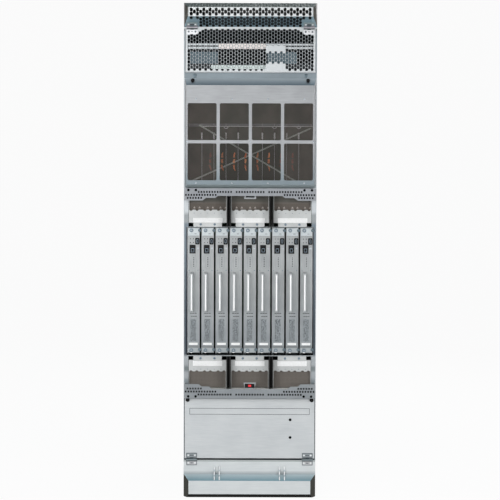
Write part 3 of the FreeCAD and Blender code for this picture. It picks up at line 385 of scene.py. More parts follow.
# hood: one sheet in several tones, painted light and shade: the front band palest, the lower slope, the crown
# and the side slopes painted darker as shade and reflection, the inside and cut edges painted near black as
# shade, those of the crown dark grey
zincHood = zincSheet("zincHoodSheet", "#dadcdc", "#ccd0d0")
zincSlope = zincSheet("zincHoodSlope", "#8ea4ae", "#78909a")
zincCrown = zincSheet("zincHoodCrown", "#6b7675", "#58625f", metal=0.3)
crownEdge = zincSheet("zincCrownEdge", "#5a6361", "#495150", metal=0.2)
zincRim = zincSheet("zincHoodRim", "#4f4c45", "#413f3a", metal=0.3)
hoodInsideShade = zincSheet("hoodInsidePaintedShade", "#1c1f20", "#121415", metal=0.0, rough=(0.55, 0.7))
zincFrame = zincSheet("zincFrameRolled", "#8b969c", "#79848b", grain=(1, 1, 1), rough=(0.36, 0.52))
zincSide = zincSheet("zincSideSheet", "#b7bdc0", "#adb3b6", grain=(14, 14, 1), cloud=180)
# rear sheet: its inner face painted near black as shade inside the cabinet
zincRear = zincSheet("zincRearSheet", "#b7bdc0", "#adb3b6", grain=(14, 14, 1), cloud=180,
                     patch=("Y", 0.498, 0.0006, "#0c0e0f"))
brightZinc = zincSheet("zincRibPolished", "#eef0f0", "#dfe2e2", metal=0.3, cloud=30)
# plain white, a painted highlight for the gusset beads
gussetGlint = zincSheet("gussetHighlightWhite", "#ffffff", "#f4f6f6", metal=0.0, rough=(0.2, 0.3), cloud=30)
tipWire = zincSheet("zincWireTips", "#b0a79f", "#9a9189", metal=0.2, cloud=20)
cutEdge = zincSheet("shearedSteelEdge", "#33383a", "#24282a", metal=0.2, rough=(0.5, 0.65))
leverAlloy = zincSheet("drawnLeverAlloy", "#c6ccce", "#b3babc", grain=(1, 1, 9), cloud=40)
# lower levers: the lever alloy painted darker than on the upper ones as shade, with a painted shadow band
# along their top edge
lowerLeverShaded = zincSheet("shadedLeverAlloy", "#a9afb1", "#979d9f", grain=(1, 1, 9), cloud=40,
                      patch=("Z", 0.6922, 0.0046, "#808485"))
# the frame's steps by height are painted light and shade along the posts, gaps and shelves
postZinc = weldedFrame("zincFrameWelded", "#40474b",
                       [(0.462, 0.464, "#8b9397"), (0.54, 0.552, "#a3a8ac"), (0.574, 0.586, "#7a8283"),
                        (0.598, 0.61, "#a5aaad"), (0.646, 0.66, "#3d464f"), (0.8, 1.243, "#75818a"),
                        (1.255, 1.27, "#989d9f"), (1.298, 1.315, "#c6cbce"), (1.424, 1.4245, "#c8ccce"),
                        (1.9242, 1.9246, "#838e94"), (1.9495, 1.9499, "#7b888f"), (2.14, 2.1405, "#08090a"),
                        (2.1498, 2.15, "#d6dadb"), (2.1576, 2.158, "#0c0e0f")],
                       "#9fa2a4", "#fafaf5")
# the knuckle bands are painted shade and highlight
hingeSteel = rolledHinge("rolledHingeSteel",
                         [(0.192, 0.012, "#959c9f"), (0.1775, 0.0035, "#4d575b"), (0.171, 0.003, "#8b9598"),
                          (0.165, 0.0033, "#34393d"), (0.153, 0.0088, "#b9b9bb"),
                          (2.1355, 0.0105, "#e2e2e4"), (2.148, 0.0032, "#2c3a3a"),
                          (2.157, 0.0058, "#b0acb1"), (2.17, 0.0072, "#97a5a7")])
trayMetal = trayFinish("fanTrayFinish")
boardMetal = boardFinish("switchBoardFinish")
filterSheet = filterFinish("airFilterFinish")
cageZinc = cageFinish("cardCageFinish")
bayZinc = cageFinish("boardCageFinish", "#a3a9ab", "#26292b", "#26292b", -0.4378)
bracketPaint = powderPaint("powderPaintPale", "#9da0a4", "#8f9297")
lowerPaint = powderPaint("powderPaintGrey", "#93989b", "#878c8f")
# wire cloth: painted shade in the middle of the lower windows, where the bay behind is dark
wireDark = powderPaint("blackenedWire", "#5a514c", "#423a36", 0.6, 0.8, (0.143, 1.634, "#372e2a"))
nylon = mouldedNylon("mouldedBlackNylon")
# matte black for the painted shade behind the tie holes and for the lower door's lamp windows
shadeFillAndLensBlack = mouldedNylon("matteBlackShadeFillAndLens", "#0a0b0c", "#040405", 0.8, 0.05)
darkGlass = mouldedNylon("smokedLampWindow", "#101113", "#050506", 0.2)
channelNylon = channelFinish("extrudedBlackChannel")
nickel = turnedNickel("turnedNickel")
bluedSteel = turnedNickel("bluedScrewSteel", "#79868c", "#525f66", 0.34)
dullNickel = turnedNickel("turnedZincScrew", "#8d9aa4", "#62707b", 0.32)
hingeRim = turnedNickel("hingeLeafRim", "#7b8185", "#62686c", 0.45)
paleRim = turnedNickel("hingeKickRim", "#8d9396", "#71777a", 0.45)
# the handle's front is painted as a highlight
handleSteel = drawnBar("drawnHandleSteel")
paper = coatedPaper("coatedLabelPaper", "#fbfbfa", "#f4f4f2")
ink = coatedPaper("screenInkGrey", "#5d6366", "#4f5558", fibre=4)
paleInk = coatedPaper("screenInkPale", "#8f9598", "#858b8e", fibre=4)
darkInk = coatedPaper("screenInkDark", "#3d4346", "#2f3437", fibre=4)
dots = printedField("inkDotField", "#232a2e", "#8f9598")
laminate = glassLaminate("epoxyGlassLaminate")
copper = springCopper("copperSpringStrip")
dullCopper = springCopper("copperSpringTarnished", "#a8634a", "#6e3a2a")
redLens = litLens("litRedLens")
print("materials made")


# the CAD nodes that stay take a finish here

finishes = {
    "base_frame": zincFrame, "roof_panel": roofZinc, "side_panel_left": zincSide,
    "side_panel_right": zincSide, "rear_panel": zincRear, "chassis_frame": postZinc, "kick_cover": kickZinc,
    "lower_door": doorZinc, "mesh_panel": panelZinc, "card_cage": cageZinc, "board_cage": bayZinc,
    "midplane": laminate, "hinge_fixed_leaves": hingeSteel, "hinge_pins": hingeSteel,
    "fan_door_hinge_leaves": hingeSteel, "lower_door_hinge_leaves": hingeSteel,
    "upper_cable_bracket": bracketPaint, "lower_cable_bracket": lowerPaint,
    "filter_dividers": channelNylon, "alarm_lamps": nylon,
}
series = [("switch_board", 9, boardMetal), ("upper_lever", 9, leverAlloy), ("lower_lever", 9, lowerLeverShaded),
          ("upper_filter", 3, filterSheet), ("lower_filter", 3, filterSheet), ("fan_tray", 4, trayMetal)]
for stem, count, finish in series:
    finishes.update({f"{stem}_{number}": finish for number in range(1, count + 1)})
for nodeName, finish in finishes.items():
    nodes[nodeName].data.materials.clear()
    nodes[nodeName].data.materials.append(finish)
print("node finishes set")


# shape building, in millimetres; every shape is (points, faces)

def quadGrid(rows, columns, wrap=False):
    # face corners of a grid of points, the second way closed on itself if wrap
    i, j = np.meshgrid(np.arange(rows - 1), np.arange(columns if wrap else columns - 1), indexing="ij")
    k = (j + 1) % columns
    corners = [i * columns + j, i * columns + k, (i + 1) * columns + k, (i + 1) * columns + j]
    return np.stack(corners, -1).reshape(-1, 4)


def joinShapes(shapes):
    # points one after another, each shape's corner numbers raised by the points before it
    points, faces, start = [], [], 0
    for p, f in shapes:
        points.append(p)
        faces += [tuple(start + k for k in face) for face in f]
        start += len(p)
    return np.concatenate(points), faces


def turnedPart(profile, centre, sides=24, out=(0, -1, 0)):
    # a profile of (radius, height) turned about the line through centre along out
    out = np.array(out, float) / np.linalg.norm(out)
    across = np.array([1.0, 0, 0])
    up = np.cross(across, out)
    profile = np.array(profile, float)
    angle = np.linspace(0, 2 * np.pi, sides, endpoint=False)
    ring = np.cos(angle)[:, None] * across + np.sin(angle)[:, None] * up
    points = np.array(centre) + profile[:, None, :1] * ring + profile[:, None, 1:] * out
    return points.reshape(-1, 3), quadGrid(len(profile), sides, True).tolist()


def roundedOutline(box, x, radius, steps=5):
    # the box (x0, x1, z0, z1) moved along x, its corners quarter circles, as one loop
    x0, x1, z0, z1 = box
    turn = np.repeat(np.arange(4) * np.pi / 2, steps) + np.tile(np.linspace(0, np.pi / 2, steps), 4)
    left, right, foot, head = x + x0 + radius, x + x1 - radius, z0 + radius, z1 - radius
    across = np.repeat([right, left, left, right], steps) + radius * np.cos(turn)
    up = np.repeat([head, head, foot, foot], steps) + radius * np.sin(turn)
    return np.stack([across, up], -1)


def platePart(outline, front, back):
    # the outline in x and z carried along y
    n = len(outline)
    a = np.insert(outline, 1, front, axis=1)
    b = np.insert(outline, 1, back, axis=1)
    sides = quadGrid(2, n, True).tolist()
    return np.concatenate([a, b]), [tuple(range(n)), tuple(range(2 * n - 1, n - 1, -1))] + sides


def ringPart(outer, inner, front, back):
    # the band between two loops of as many points, carried along y and closed
    corners = ((outer, front), (inner, front), (inner, back), (outer, back), (outer, front))
    loops = [np.insert(loop, 1, y, axis=1) for loop, y in corners]
    return np.concatenate(loops), quadGrid(len(corners), len(outer), True).tolist()


def stuckOn(face, x, box, radius, out, depth, finish, hole=None, holeRadius=0, steps=5):
    # a rounded plate over the box, from out before the face to depth behind it; a ring where hole is its
    # inner box
    outer = roundedOutline(box, x, radius, steps)
    if hole is None:
        return platePart(outer, face - out, face + depth), finish
    return ringPart(outer, roundedOutline(hole, x, holeRadius, steps), face - out, face + depth), finish


def barsPart(low, high):
    # straight bars, each between its low and high corner
    pick = np.array([[0, 0, 0], [1, 0, 0], [1, 1, 0], [0, 1, 0], [0, 0, 1], [1, 0, 1], [1, 1, 1], [0, 1, 1]])
    points = low[:, None, :] + pick * (high - low)[:, None, :]
    sides = np.array([[0, 3, 2, 1], [4, 5, 6, 7], [0, 1, 5, 4], [1, 2, 6, 5], [2, 3, 7, 6], [3, 0, 4, 7]])
    faces = sides[None] + 8 * np.arange(len(low))[:, None, None]
    return points.reshape(-1, 3), faces.reshape(-1, 4).tolist()


def tubePart(path, across, deep, sides=14):
    # an oval ring carried along a path in a plane of one x; across and deep are its half sizes on the way
    path = np.array(path, float)
    along = np.gradient(path, axis=0)
    along /= np.linalg.norm(along, axis=1)[:, None]
    side = np.array([1.0, 0, 0])
    out = np.cross(along, side)
    angle = np.linspace(0, 2 * np.pi, sides, endpoint=False)
    across = np.broadcast_to(across, len(path))[:, None, None]
    deep = np.broadcast_to(deep, len(path))[:, None, None]
    points = (path[:, None] + across * np.cos(angle)[None, :, None] * side
              + deep * np.sin(angle)[None, :, None] * out[:, None])
    n = len(points) * sides
    ends = [tuple(range(sides)), tuple(range(n - 1, n - sides - 1, -1))]
    return points.reshape(-1, 3), quadGrid(len(path), sides, True).tolist() + ends


def softened(corners, rounds=3):
    # corners cut again and again at a quarter and three quarters of each run, ends kept
    p = np.array(corners, float)
    for _ in range(rounds):
        cut = np.stack([p[:-1] * 0.75 + p[1:] * 0.25, p[:-1] * 0.25 + p[1:] * 0.75], 1)
        p = np.concatenate([p[:1], cut.reshape(-1, p.shape[1]), p[-1:]])
    return p


def punchedSheet(columns, pitch, cells, half, holes, holeW, holeH, margins):
    # columns of half cells; a hole fills the two half cells that meet at its centre, every corner is shared;
    # holes[c, m] says whether column c is punched at level m; margins are left, right, below, above
    c, i = np.meshgrid(np.arange(columns), np.arange(cells), indexing="ij")
    above = holes[:, :-1]
    below = holes[:, 1:]
    w, h = pitch / 2, holeW / 2
    kz = holeH / 2
    top = np.array([[w, 0], [w, half / 2], [w, half], [0, half], [-w, half], [-w, half / 2], [-w, 0],
                    [h, 0], [h * 0.92, kz * 0.5], [h * 0.6, kz * 0.88], [0, kz],
                    [-h * 0.6, kz * 0.88], [-h * 0.92, kz * 0.5], [-h, 0]])
    topFaces = np.array([[n, n + 1, n + 8, n + 7] for n in range(6)])
    low = top * [1, -1] + [0, half]
    plain = np.array([[x, z] for z in (0, half / 2, half) for x in (-w, 0, w)])
    plainFaces = np.array([[0, 1, 4, 3], [1, 2, 5, 4], [3, 4, 7, 6], [4, 5, 8, 7]])
    spots, faces, start = [], [], 0
    for mask, form, corners in ((above, top, topFaces), (below, low, topFaces[:, ::-1]),
                                (~(above | below), plain, plainFaces)):
        at = np.stack([(c[mask] - (columns - 1) / 2) * pitch, i[mask] * half], -1)
        spots.append((at[:, None] + form).reshape(-1, 2))
        faces.append((corners[None] + start + len(form) * np.arange(len(at))[:, None, None]).reshape(-1, 4))
        start += len(form) * len(at)
    left, right, under, over = margins
    xs = (np.arange(2 * columns + 1) - columns) * w
    zs = np.arange(2 * cells + 1) * half / 2
    xs = np.concatenate([[xs[0] - left], xs, [xs[-1] + right]])
    zs = np.concatenate([[-under], zs, [zs[-1] + over]])
    grid = np.stack(np.meshgrid(xs, zs, indexing="ij"), -1)
    for block in (grid[:2], grid[-2:], grid[1:-1, :2], grid[1:-1, -2:]):
        spots.append(block.reshape(-1, 2))
        faces.append(quadGrid(*block.shape[:2])[:, ::-1] + start)
        start += block.shape[0] * block.shape[1]
    return np.concatenate(spots), np.concatenate(faces)


sharpAngle = math.radians(35)
mergeDistance = 0.02 * mm


def putPiece(name, parts, body, sheet=0.0, cut=None, inside=False):
    # parts are (shape, material); doubles are merged, normals turned out, then the sheet gets its thickness
    # and, if named, other finishes on its cut edges and inside, one for each of its own
    mesh = bpy.data.meshes.new(name)
    points, faces = joinShapes([shape for shape, _ in parts])
    mesh.from_pydata((points * mm).tolist(), [], faces)
    finishList = list(dict.fromkeys(finish for _, finish in parts))
    counts = [len(shape[1]) for shape, _ in parts]
    index = np.repeat([finishList.index(finish) for _, finish in parts], counts)
    for finish in finishList + (cut or []):
        mesh.materials.append(finish)
    mesh.polygons.foreach_set("material_index", index)
    mesh.polygons.foreach_set("use_smooth", [True] * len(index))
    work = bmesh.new()
    work.from_mesh(mesh)
    bmesh.ops.remove_doubles(work, verts=work.verts, dist=mergeDistance)
    if not sheet:
        bmesh.ops.recalc_face_normals(work, faces=work.faces)
    work.to_mesh(mesh)
    work.free()
    mesh.set_sharp_from_angle(angle=sharpAngle)
    made = bpy.data.objects.new(name, mesh)
    bpy.context.collection.objects.link(made)
    if sheet:
        wall = made.modifiers.new("wall", "SOLIDIFY")
        wall.thickness = sheet * mm
        wall.offset = -1
        wall.material_offset = len(finishList) if inside else 0
        wall.material_offset_rim = len(finishList) if cut else 0
    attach(made, body)
    return made


# hood: a bulging folded sheet, punched all over with staggered holes; each field is
# (cells, first hole, plain rest at both rims, hole width, hole height)

hood = {"half": 304, "plate": 284, "foot": 2157.9, "low": 2199.9, "high": 2240.9, "top": 2266.9,
        "back": -438, "front": -500, "columns": 39, "pitch": 14.15, "sheet": 2.0, "hingeX": 230,
        "fields": [(7, 1, 0, 13.9, 20.6), (4, 0, 1.9, 13.9, 18.2), (6, 1, 0, 10.6, 12.4)]}


def staggered(columns, cells, first=0):
    # a hole wherever column and level add up to an odd number, none on the rim
    c, m = np.meshgrid(np.arange(columns), np.arange(cells + 1), indexing="ij")
    return ((c + m + first) % 2 == 1) & (m > 0) & (m < cells)


def foldedBand(spots, near, far, length):
    # the flat sheet's second way laid along the line from near to far (y, z, half width); its ends follow
    # the side slopes
    share = spots[:, 1:] / length
    y, z, reach = (near + (far - near) * share).T
    x = spots[:, 0]
    rim = np.abs(x) > hood["columns"] * hood["pitch"] / 2 + 0.01
    return np.stack([np.where(rim, np.sign(x) * reach, x), y, z], -1)


def makeHood():
    # three punched bands between the four folds, and two plain slopes that close the sides
    h = hood
    columns, pitch = h["columns"], h["pitch"]
    side = h["plate"] - columns * pitch / 2
    x = (np.arange(columns) - (columns - 1) / 2) * pitch
    folds = np.array([(h["back"], h["foot"], h["half"]), (h["front"], h["low"], h["plate"]),
                      (h["front"], h["high"], h["plate"]), (h["back"], h["top"], h["half"])])
    bands = []
    for n, (cells, first, rest, holeW, holeH) in enumerate(h["fields"]):
        near, far = folds[n], folds[n + 1]
        length = math.hypot(*(far - near)[:2])
        holes = staggered(columns, cells, first)
        if n == 0:
            holes[np.abs(x) > h["hingeX"], :cells - 1] = False  # plain where the hinges are fixed
        flat, faces = punchedSheet(columns, pitch, cells, (length - 2 * rest) / cells, holes, holeW, holeH,
                                   (side, side, rest, rest))
        bands.append((foldedBand(flat + [0, rest], near, far, length), faces))
    for s, loop in ((-1, (0, 1, 2, 3)), (1, (3, 2, 1, 0))):  # plain side slopes
        bands.append((folds[:, [2, 0, 1]] * [s, 1, 1], [loop]))
    # each band's tone is painted as its light or shade; the inside and cut edges are in painted shade
    finish = [zincSlope, zincHood, zincCrown, zincRim, zincRim]
    made = putPiece("hoodSheet", list(zip(bands, finish)), "cabinet", h["sheet"],
                    [hoodInsideShade, hoodInsideShade, crownEdge, hoodInsideShade], True)
    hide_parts("hood_cover")


makeHood()
print("hood made")


# fan door: a flat sheet with a close staggered grille; corner is (height, from, run, fall) of the line over
# the outer holes, and above short the sheet is squeezed to its height

fanDoor = {"columns": 45, "pitch": 12.81, "half": 8.15, "cells": 24, "holeW": 12.4, "holeH": 15.8, "x": 299,
           "z0": 1949.9, "z1": 2149.9, "front": -440.4, "sheet": 2.0, "field": 1958.3, "short": 2141.7,
           "over": 0.6, "corner": (2147, 206, 36, 0.52), "high": 2088,
           "plain": [(72, 161, 2043, 2076), (72, 161, 1950, 1993)]}


def makeFanDoor():
    # one punched field on a plane, its upper rim squeezed to the door's height
    d = fanDoor
    holes = staggered(d["columns"], d["cells"])
    x = (np.arange(d["columns"]) - (d["columns"] - 1) / 2) * d["pitch"]
    z = d["field"] + np.arange(d["cells"] + 1) * d["half"]
    xx, zz = np.meshgrid(x, z, indexing="ij")
    level, start, run, fall = d["corner"]
    holes &= zz < level - np.clip(np.abs(xx) - start, 0, run) * fall  # corners left plain for the hinges
    for x0, x1, z0, z1 in d["plain"]:
        holes &= ~((xx > x0) & (xx < x1) & (zz > z0) & (zz < z1))
    side = d["x"] - d["columns"] * d["pitch"] / 2
    flat, faces = punchedSheet(d["columns"], d["pitch"], d["cells"], d["half"], holes, d["holeW"],
                               d["holeH"], (side, side, d["field"] - d["z0"], d["over"]))
    top = z[-1] + d["over"]
    z = np.interp(d["field"] + flat[:, 1], [d["z0"], d["short"], top], [d["z0"], d["short"], d["z1"]])
    points = np.stack([flat[:, 0], np.full(len(flat), d["front"]), z], -1)
    punched = 6 * (holes[:, :-1].sum() + holes[:, 1:].sum())
    web = np.arange(len(faces)) < punched  # the narrow sheet round each hole, split into two fields
    high = z[faces].mean(1) > d["high"]
    parts = []
    # the webs are painted darker than the plain sheet as shade, the upper field more
    for chosen, finish in ((web & high, zincWeb), (web & ~high, zincLowWeb), (~web, zincDoor)):
        used, order = np.unique(faces[chosen], return_inverse=True)
        parts.append(((points[used], order.reshape(-1, 4)), finish))
    made = putPiece("fanDoorSheet", parts, "fan_door", d["sheet"], [cutEdge] * 3)
    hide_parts("fan_door")


makeFanDoor()
print("fan door made")


# wire cloth behind the intake windows: straight wires both ways, one way laid over the other

cloth = {"x": 289, "z0": 1452.5, "z1": 1815.5, "pitch": 3.2, "wire": 1.05, "front": (-468.0, -467.5),
         "back": (-467.55, -467.0)}


def makeCloth():
    # two rows of straight bars, upright ones in front of level ones
    k = cloth
    half = k["wire"] / 2
    x = np.arange(-k["x"] + half, k["x"] - half, k["pitch"])
    z = np.arange(k["z0"] + half, k["z1"] - half, k["pitch"])
    corners = []
    for n, s in ((0, -1), (1, 1)):  # low corners, then high ones
        upright = np.broadcast_arrays(x + s * half, k["front"][n], (k["z0"], k["z1"])[n])
        level = np.broadcast_arrays(s * k["x"], k["back"][n], z + s * half)
        corners.append(np.concatenate([np.stack(upright, -1), np.stack(level, -1)]))
    made = putPiece("wireCloth", [(barsPart(*corners), wireDark)], "cabinet")
    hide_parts("mesh_screen")


makeCloth()
print("wire cloth made")


# screws, knobs and rivets

def panHead(radius, height):
    # a domed screw head with a turned rim
    return [(0, height * 0.55), (radius * 0.3, height * 0.55), (radius * 0.36, height),
            (radius * 0.7, height * 0.95), (radius * 0.94, height * 0.6), (radius, height * 0.2),
            (radius, -0.6), (0, -0.6)]


def knobProfile(radius, height):
    # a quarter-turn knob: waisted foot, wide crown, dished top
    return [(0, height * 0.82), (radius * 0.55, height * 0.84), (radius * 0.8, height),
            (radius * 0.97, height * 0.9), (radius, height * 0.6), (radius * 0.92, height * 0.3),
            (radius * 0.72, height * 0.14), (radius * 0.78, 0), (radius * 0.78, -1), (0, -1)]


panelScrews = {"radius": 4.2, "height": 2.0, "x": [-247.5, -83.5, 80, 246], "z": (1829, 1446),
               "face": -470.0, "middleX": (0, -289, 289), "middleZ": 1634}


def makePanelScrews():
    # a turned head at every spot of the grid and of the middle row
    p = panelScrews
    spots = [(x, p["face"], z) for x in p["x"] for z in p["z"]]
    spots += [(x, p["face"], p["middleZ"]) for x in p["middleX"]]
    heads = [(turnedPart(panHead(p["radius"], p["height"]), s, 20), nickel) for s in spots]
    putPiece("panelScrews", heads, "cabinet")


knobs = {"radius": 8.5, "height": 12.0, "x": 263, "z": 1909.0, "head": 1924.5, "post": -438, "rise": 33.0,
         "run": 32.0, "doorX": 285.5, "doorZ": 448, "doorRadius": 9.0, "doorFace": -440.4, "studX": 254,
         "studZ": 1937, "stud": (9, 2.4)}


def makeKnobs():
    # a turned profile at both sides, mirrored in x
    k = knobs
    y = k["post"] - k["run"] * (k["head"] - k["z"]) / k["rise"]  # on the panel's slope
    slope, straight = (0, -k["rise"], k["run"]), (0, -1, 0)
    upper, lower = knobProfile(k["radius"], k["height"]), knobProfile(k["doorRadius"], k["height"])
    rows = [("panelKnobs", upper, (k["x"], y, k["z"]), slope, nylon, "cabinet", "black_plastic"),
            ("doorKnobs", lower, (k["doorX"], k["doorFace"], k["doorZ"]), straight, nylon, "lower_door",
             "black_plastic"),
            ("sillStuds", panHead(*k["stud"]), (k["studX"], k["post"], k["studZ"]), straight, bluedSteel,
             "cabinet", "hinge_steel")]
    for name, profile, spot, out, finish, body, slotName in rows:
        pair = [(turnedPart(profile, np.array(spot) * [s, 1, 1], 28, out), finish) for s in (-1, 1)]
        putPiece(name, pair, body)


makePanelScrews()
makeKnobs()
print("screws and knobs made")


# switch boards: lamps, latch button, jack, label and printed fields on each face; a row is (box, corner
# radius, how far out, how deep, finish) and for a ring its inner box and radius

board = {"pitch": 64.8, "face": -438.0, "lampX": (-14, -1), "lampZ": (1190, 1173), "lamp": (2.1, 1.0),
         "latch": [((7.6, 27.2, 1164, 1194.6), 4.5, 2.0, 0.5, nylon),
                   ((13.2, 21.6, 1170.4, 1188.2), 4.1, 2.8, -1.5, dullNickel, (14.8, 20, 1172, 1186.6), 2.5)],
         "jack": [((-18, 9, 1122.6, 1162.4), 2.0, 2.6, 0.5, nylon, (-12.5, 3.5, 1129.6, 1151.4), 1.2),
                  ((-13.5, 4.5, 1127.6, 1153.4), 1.0, 0.5, 0.4, darkGlass),
                  ((-11, 2.6, 1129.1, 1146.4), 1.4, 2.9, -0.4, dullNickel, (-9.4, 1, 1130.7, 1144.4), 0.6)],
         "screw": (19.5, 1147), "screwHead": (4.4, 1.4),
         "oval": ((-11.5, 12.5, 1052, 1117), 11.9, 0.35, 0.3, paleInk, (-10.5, 11.5, 1053, 1116), 10.9, 9),
         "marks": (1064, 1103, 6), "mark": (-1.5, 2.5, -2.2, 2.2), "markForm": (1.0, 0.3, 0.3, darkInk),
         "pinX": (-20, 20), "pinZ": 1045, "pin": (2.4, 0.9),
         "field": ((-14, 12, 718, 821), 2.0, 0.2, 0.3, dots),
         "rows": ((-17, 15, 845.9, 849.1), (-13, 16, 831.9, 835.1)), "gap": 0.7,
         "dashForm": (0.8, 0.25, 0.3, darkInk), "label": ((-21, 19.5, 701, 711.5), 1.2, 0.35, 0.3, paper),
         "handleX": -8, "handle": (5.3, 4.6),
         "path": [(-436.5, 859), (-470, 864), (-477.5, 866), (-477.5, 880), (-477.5, 1011), (-477.5, 1025),
                  (-470, 1027), (-436.5, 1032)]}


def makeBoardTrim(number):
    # turned heads and rounded plates on the face, and an oval bar along a softened path
    b = board
    x = (number - 5) * b["pitch"]
    f = b["face"]
    parts = [(turnedPart(panHead(*b["lamp"]), (x + dx, f, z), 12), darkGlass)
             for dx in b["lampX"] for z in b["lampZ"]]
    parts += [stuckOn(f, x, *row) for row in b["latch"] + b["jack"]]
    parts.append((turnedPart(panHead(*b["screwHead"]), (x + b["screw"][0], f, b["screw"][1]), 18), nickel))
    parts.append(stuckOn(f, x, *b["oval"]))
    x0, x1, z0, z1 = b["mark"]
    parts += [stuckOn(f, x, (x0, x1, z + z0, z + z1), *b["markForm"]) for z in np.linspace(*b["marks"])]
    parts += [(turnedPart(panHead(*b["pin"]), (x + dx, f, b["pinZ"]), 14), dullNickel) for dx in b["pinX"]]
    parts.append(stuckOn(f, x, *b["field"]))
    for x0, x1, z0, z1 in b["rows"]:  # two rows of small print, drawn as three dashes each
        cut = np.linspace(x0, x1, 4)
        parts += [stuckOn(f, x, (left + b["gap"], right - b["gap"], z0, z1), *b["dashForm"])
                  for left, right in zip(cut[:-1], cut[1:])]
    parts.append(stuckOn(f, x, *b["label"]))
    path = softened([(x + b["handleX"], y, z) for y, z in b["path"]])
    parts.append((tubePart(path, *b["handle"]), handleSteel))
    putPiece(f"boardTrim_{number}", parts, f"board_{number}")


# ejector levers: eyelet, rivet, captive screw and a mark; upper and lower are (ring height, screw height, the
# mark's row)

lever = {"ringX": -10, "face": -438.0, "screwX": 38.4, "rivet": (3.2, 1.6),
         "eyelet": [(4.2, 0.4), (4.2, 1.6), (5.2, 2.4), (8.0, 2.2), (8.8, 1.0), (8.8, -0.5), (4.2, -0.5),
                    (4.2, 0.4)],
         "thumb": [(0, 4.2), (2.6, 4.2), (3.2, 5.2), (6.2, 5.1), (7.4, 4.2), (7.4, 1.6), (6.4, 1.0),
                   (6.4, -0.8), (0, -0.8)],
         "upper": (1229, 1229.0, ((14, 24, 1212, 1214.4), 1.1, 0.3, 0.3, ink)),
         "lower": (676.5, 680, ((-5, 5, 664.8, 668.4), 1.7, 0.6, 0.3, paper))}


def makeLeverTrim(number):
    # turned profiles round the ring and the screw, and a rounded mark
    v = lever
    x = (number - 5) * board["pitch"] + v["ringX"]
    f = v["face"]
    for row in ("upper", "lower"):
        ringZ, screwZ, mark = v[row]
        putPiece(f"{row}LeverTrim_{number}",
                 [(turnedPart(v["eyelet"], (x, f, ringZ), 22), dullNickel),
                  (turnedPart(v["thumb"], (x + v["screwX"], f, screwZ), 24), bluedSteel),
                  (turnedPart(panHead(*v["rivet"]), (x, f, ringZ), 16), nickel), stuckOn(f, x, *mark)],
                 f"{row}_lever_{number}")


for number in range(1, 10):
    makeBoardTrim(number)
    makeLeverTrim(number)
print("board and lever trim made")


# air filters: blank label plates, captive screws in the tabs, corners of the wire web that stand out

filters = {"pitch": 194.4, "face": -440.0, "labelForm": (1.5, 0.5, 0.3, paper),
           "labels": ((-67.5, 68.5, 1264.7, 1286.3), (-67.5, 68.5, 604.6, 627.7)), "screwX": (-32, 32),
           "screwZ": (1256.5, 640), "tips": (-62, -38, 0, 23, 58, 82), "tipZ": 1334, "bed": (-426.2, -424.6),
           "tip": [[-6, -4], [6, -4], [0, 5]], "rivetX": (-62, 62, 5), "rivetZ": (1308, 590),
           "rivet": (1.8, 0.7), "screw": [(0, 6), (2.2, 6), (2.8, 7), (4, 6.6), (4.6, 5), (4.6, 1),
                                          (5.6, 0.8), (5.6, -0.5), (0, -0.5)]}


def makeFilterTrim():
    # rounded labels, turned screws, small triangles and a row of rivets on each filter
    q = filters
    f = q["face"]
    parts = []
    for n in (-1, 0, 1):
        x = n * q["pitch"]
        parts += [stuckOn(f, x, box, *q["labelForm"]) for box in q["labels"]]
        parts += [(turnedPart(q["screw"], (x + dx, f, z), 20), dullNickel)
                  for dx in q["screwX"] for z in q["screwZ"]]
        parts += [(platePart(np.array(q["tip"]) + [x + dx, q["tipZ"]], *q["bed"]), tipWire)
                  for dx in q["tips"]]
        parts += [(turnedPart(panHead(*q["rivet"]), (x + dx, f, z), 10), dullNickel)
                  for dx in np.linspace(*q["rivetX"]) for z in q["rivetZ"]]
    putPiece("filterTrim", parts, "cabinet")


makeFilterTrim()
print("filter trim made")


# lower door: printed frame line, lamp windows

doorTrim = {"face": -440.4, "windowX": 188, "windows": (356, 274),
            "line": ((-277, 277, 379.6, 409.2), 2.0, 0.25, 0.3, ink, (-275, 275, 381.6, 407.2), 1.0),
            "lens": [(0, 0.1), (5.76, 0.1), (6.4, -0.1), (6.4, -2.0), (0, -2.0)]}


def makeDoorTrim():
    # a rounded ring and two turned windows
    d = doorTrim
    f = d["face"]
    parts = [stuckOn(f, 0, *d["line"])]
    parts += [(turnedPart(d["lens"], (d["windowX"], f, z), 24), shadeFillAndLensBlack) for z in d["windows"]]
    putPiece("lowerDoorTrim", parts, "lower_door")


makeDoorTrim()


# pressed rims, slots and screws on all four hinges; slope is the hood's lower slope from root, as (run,
# rise), and a slot is its half sizes

hinges = {"x": 267, "dx": (-15.5, 15.5), "head": (4.4, 1.6), "half": 24.6, "rim": 3.0, "door": -442.4,
          "plinth": -442.0, "lower": (180, 201.6), "kick": (144.4, 166), "upper": (2125.3, 2147),
          "laid": (9, 29), "slope": (62.0, 42.0), "root": (0, -438, 2157.9)}


def leafTrim(x, z0, z1, face, rim, slotSize, screw):
    # a slot in the leaf's middle, a screw at both sides and, if it has a finish, a rim round the leaf
    g = hinges
    half, wall = g["half"], g["rim"]
    parts = []
    if rim:
        inner = (wall - half, half - wall, z0 + wall, z1 - wall)
        parts.append(stuckOn(face, x, (-half, half, z0, z1), 4.5, 0.5, 0.3, rim, inner, 3.0))
    a, b = slotSize
    middle = (z0 + z1) / 2
    parts.append(stuckOn(face, x, (-a, a, middle - b, middle + b), b * 0.9, 0.3, 0.3, hingeRim))
    parts += [(turnedPart(panHead(*g["head"]), (x + dx, face, middle), 18), screw) for dx in g["dx"]]
    return parts


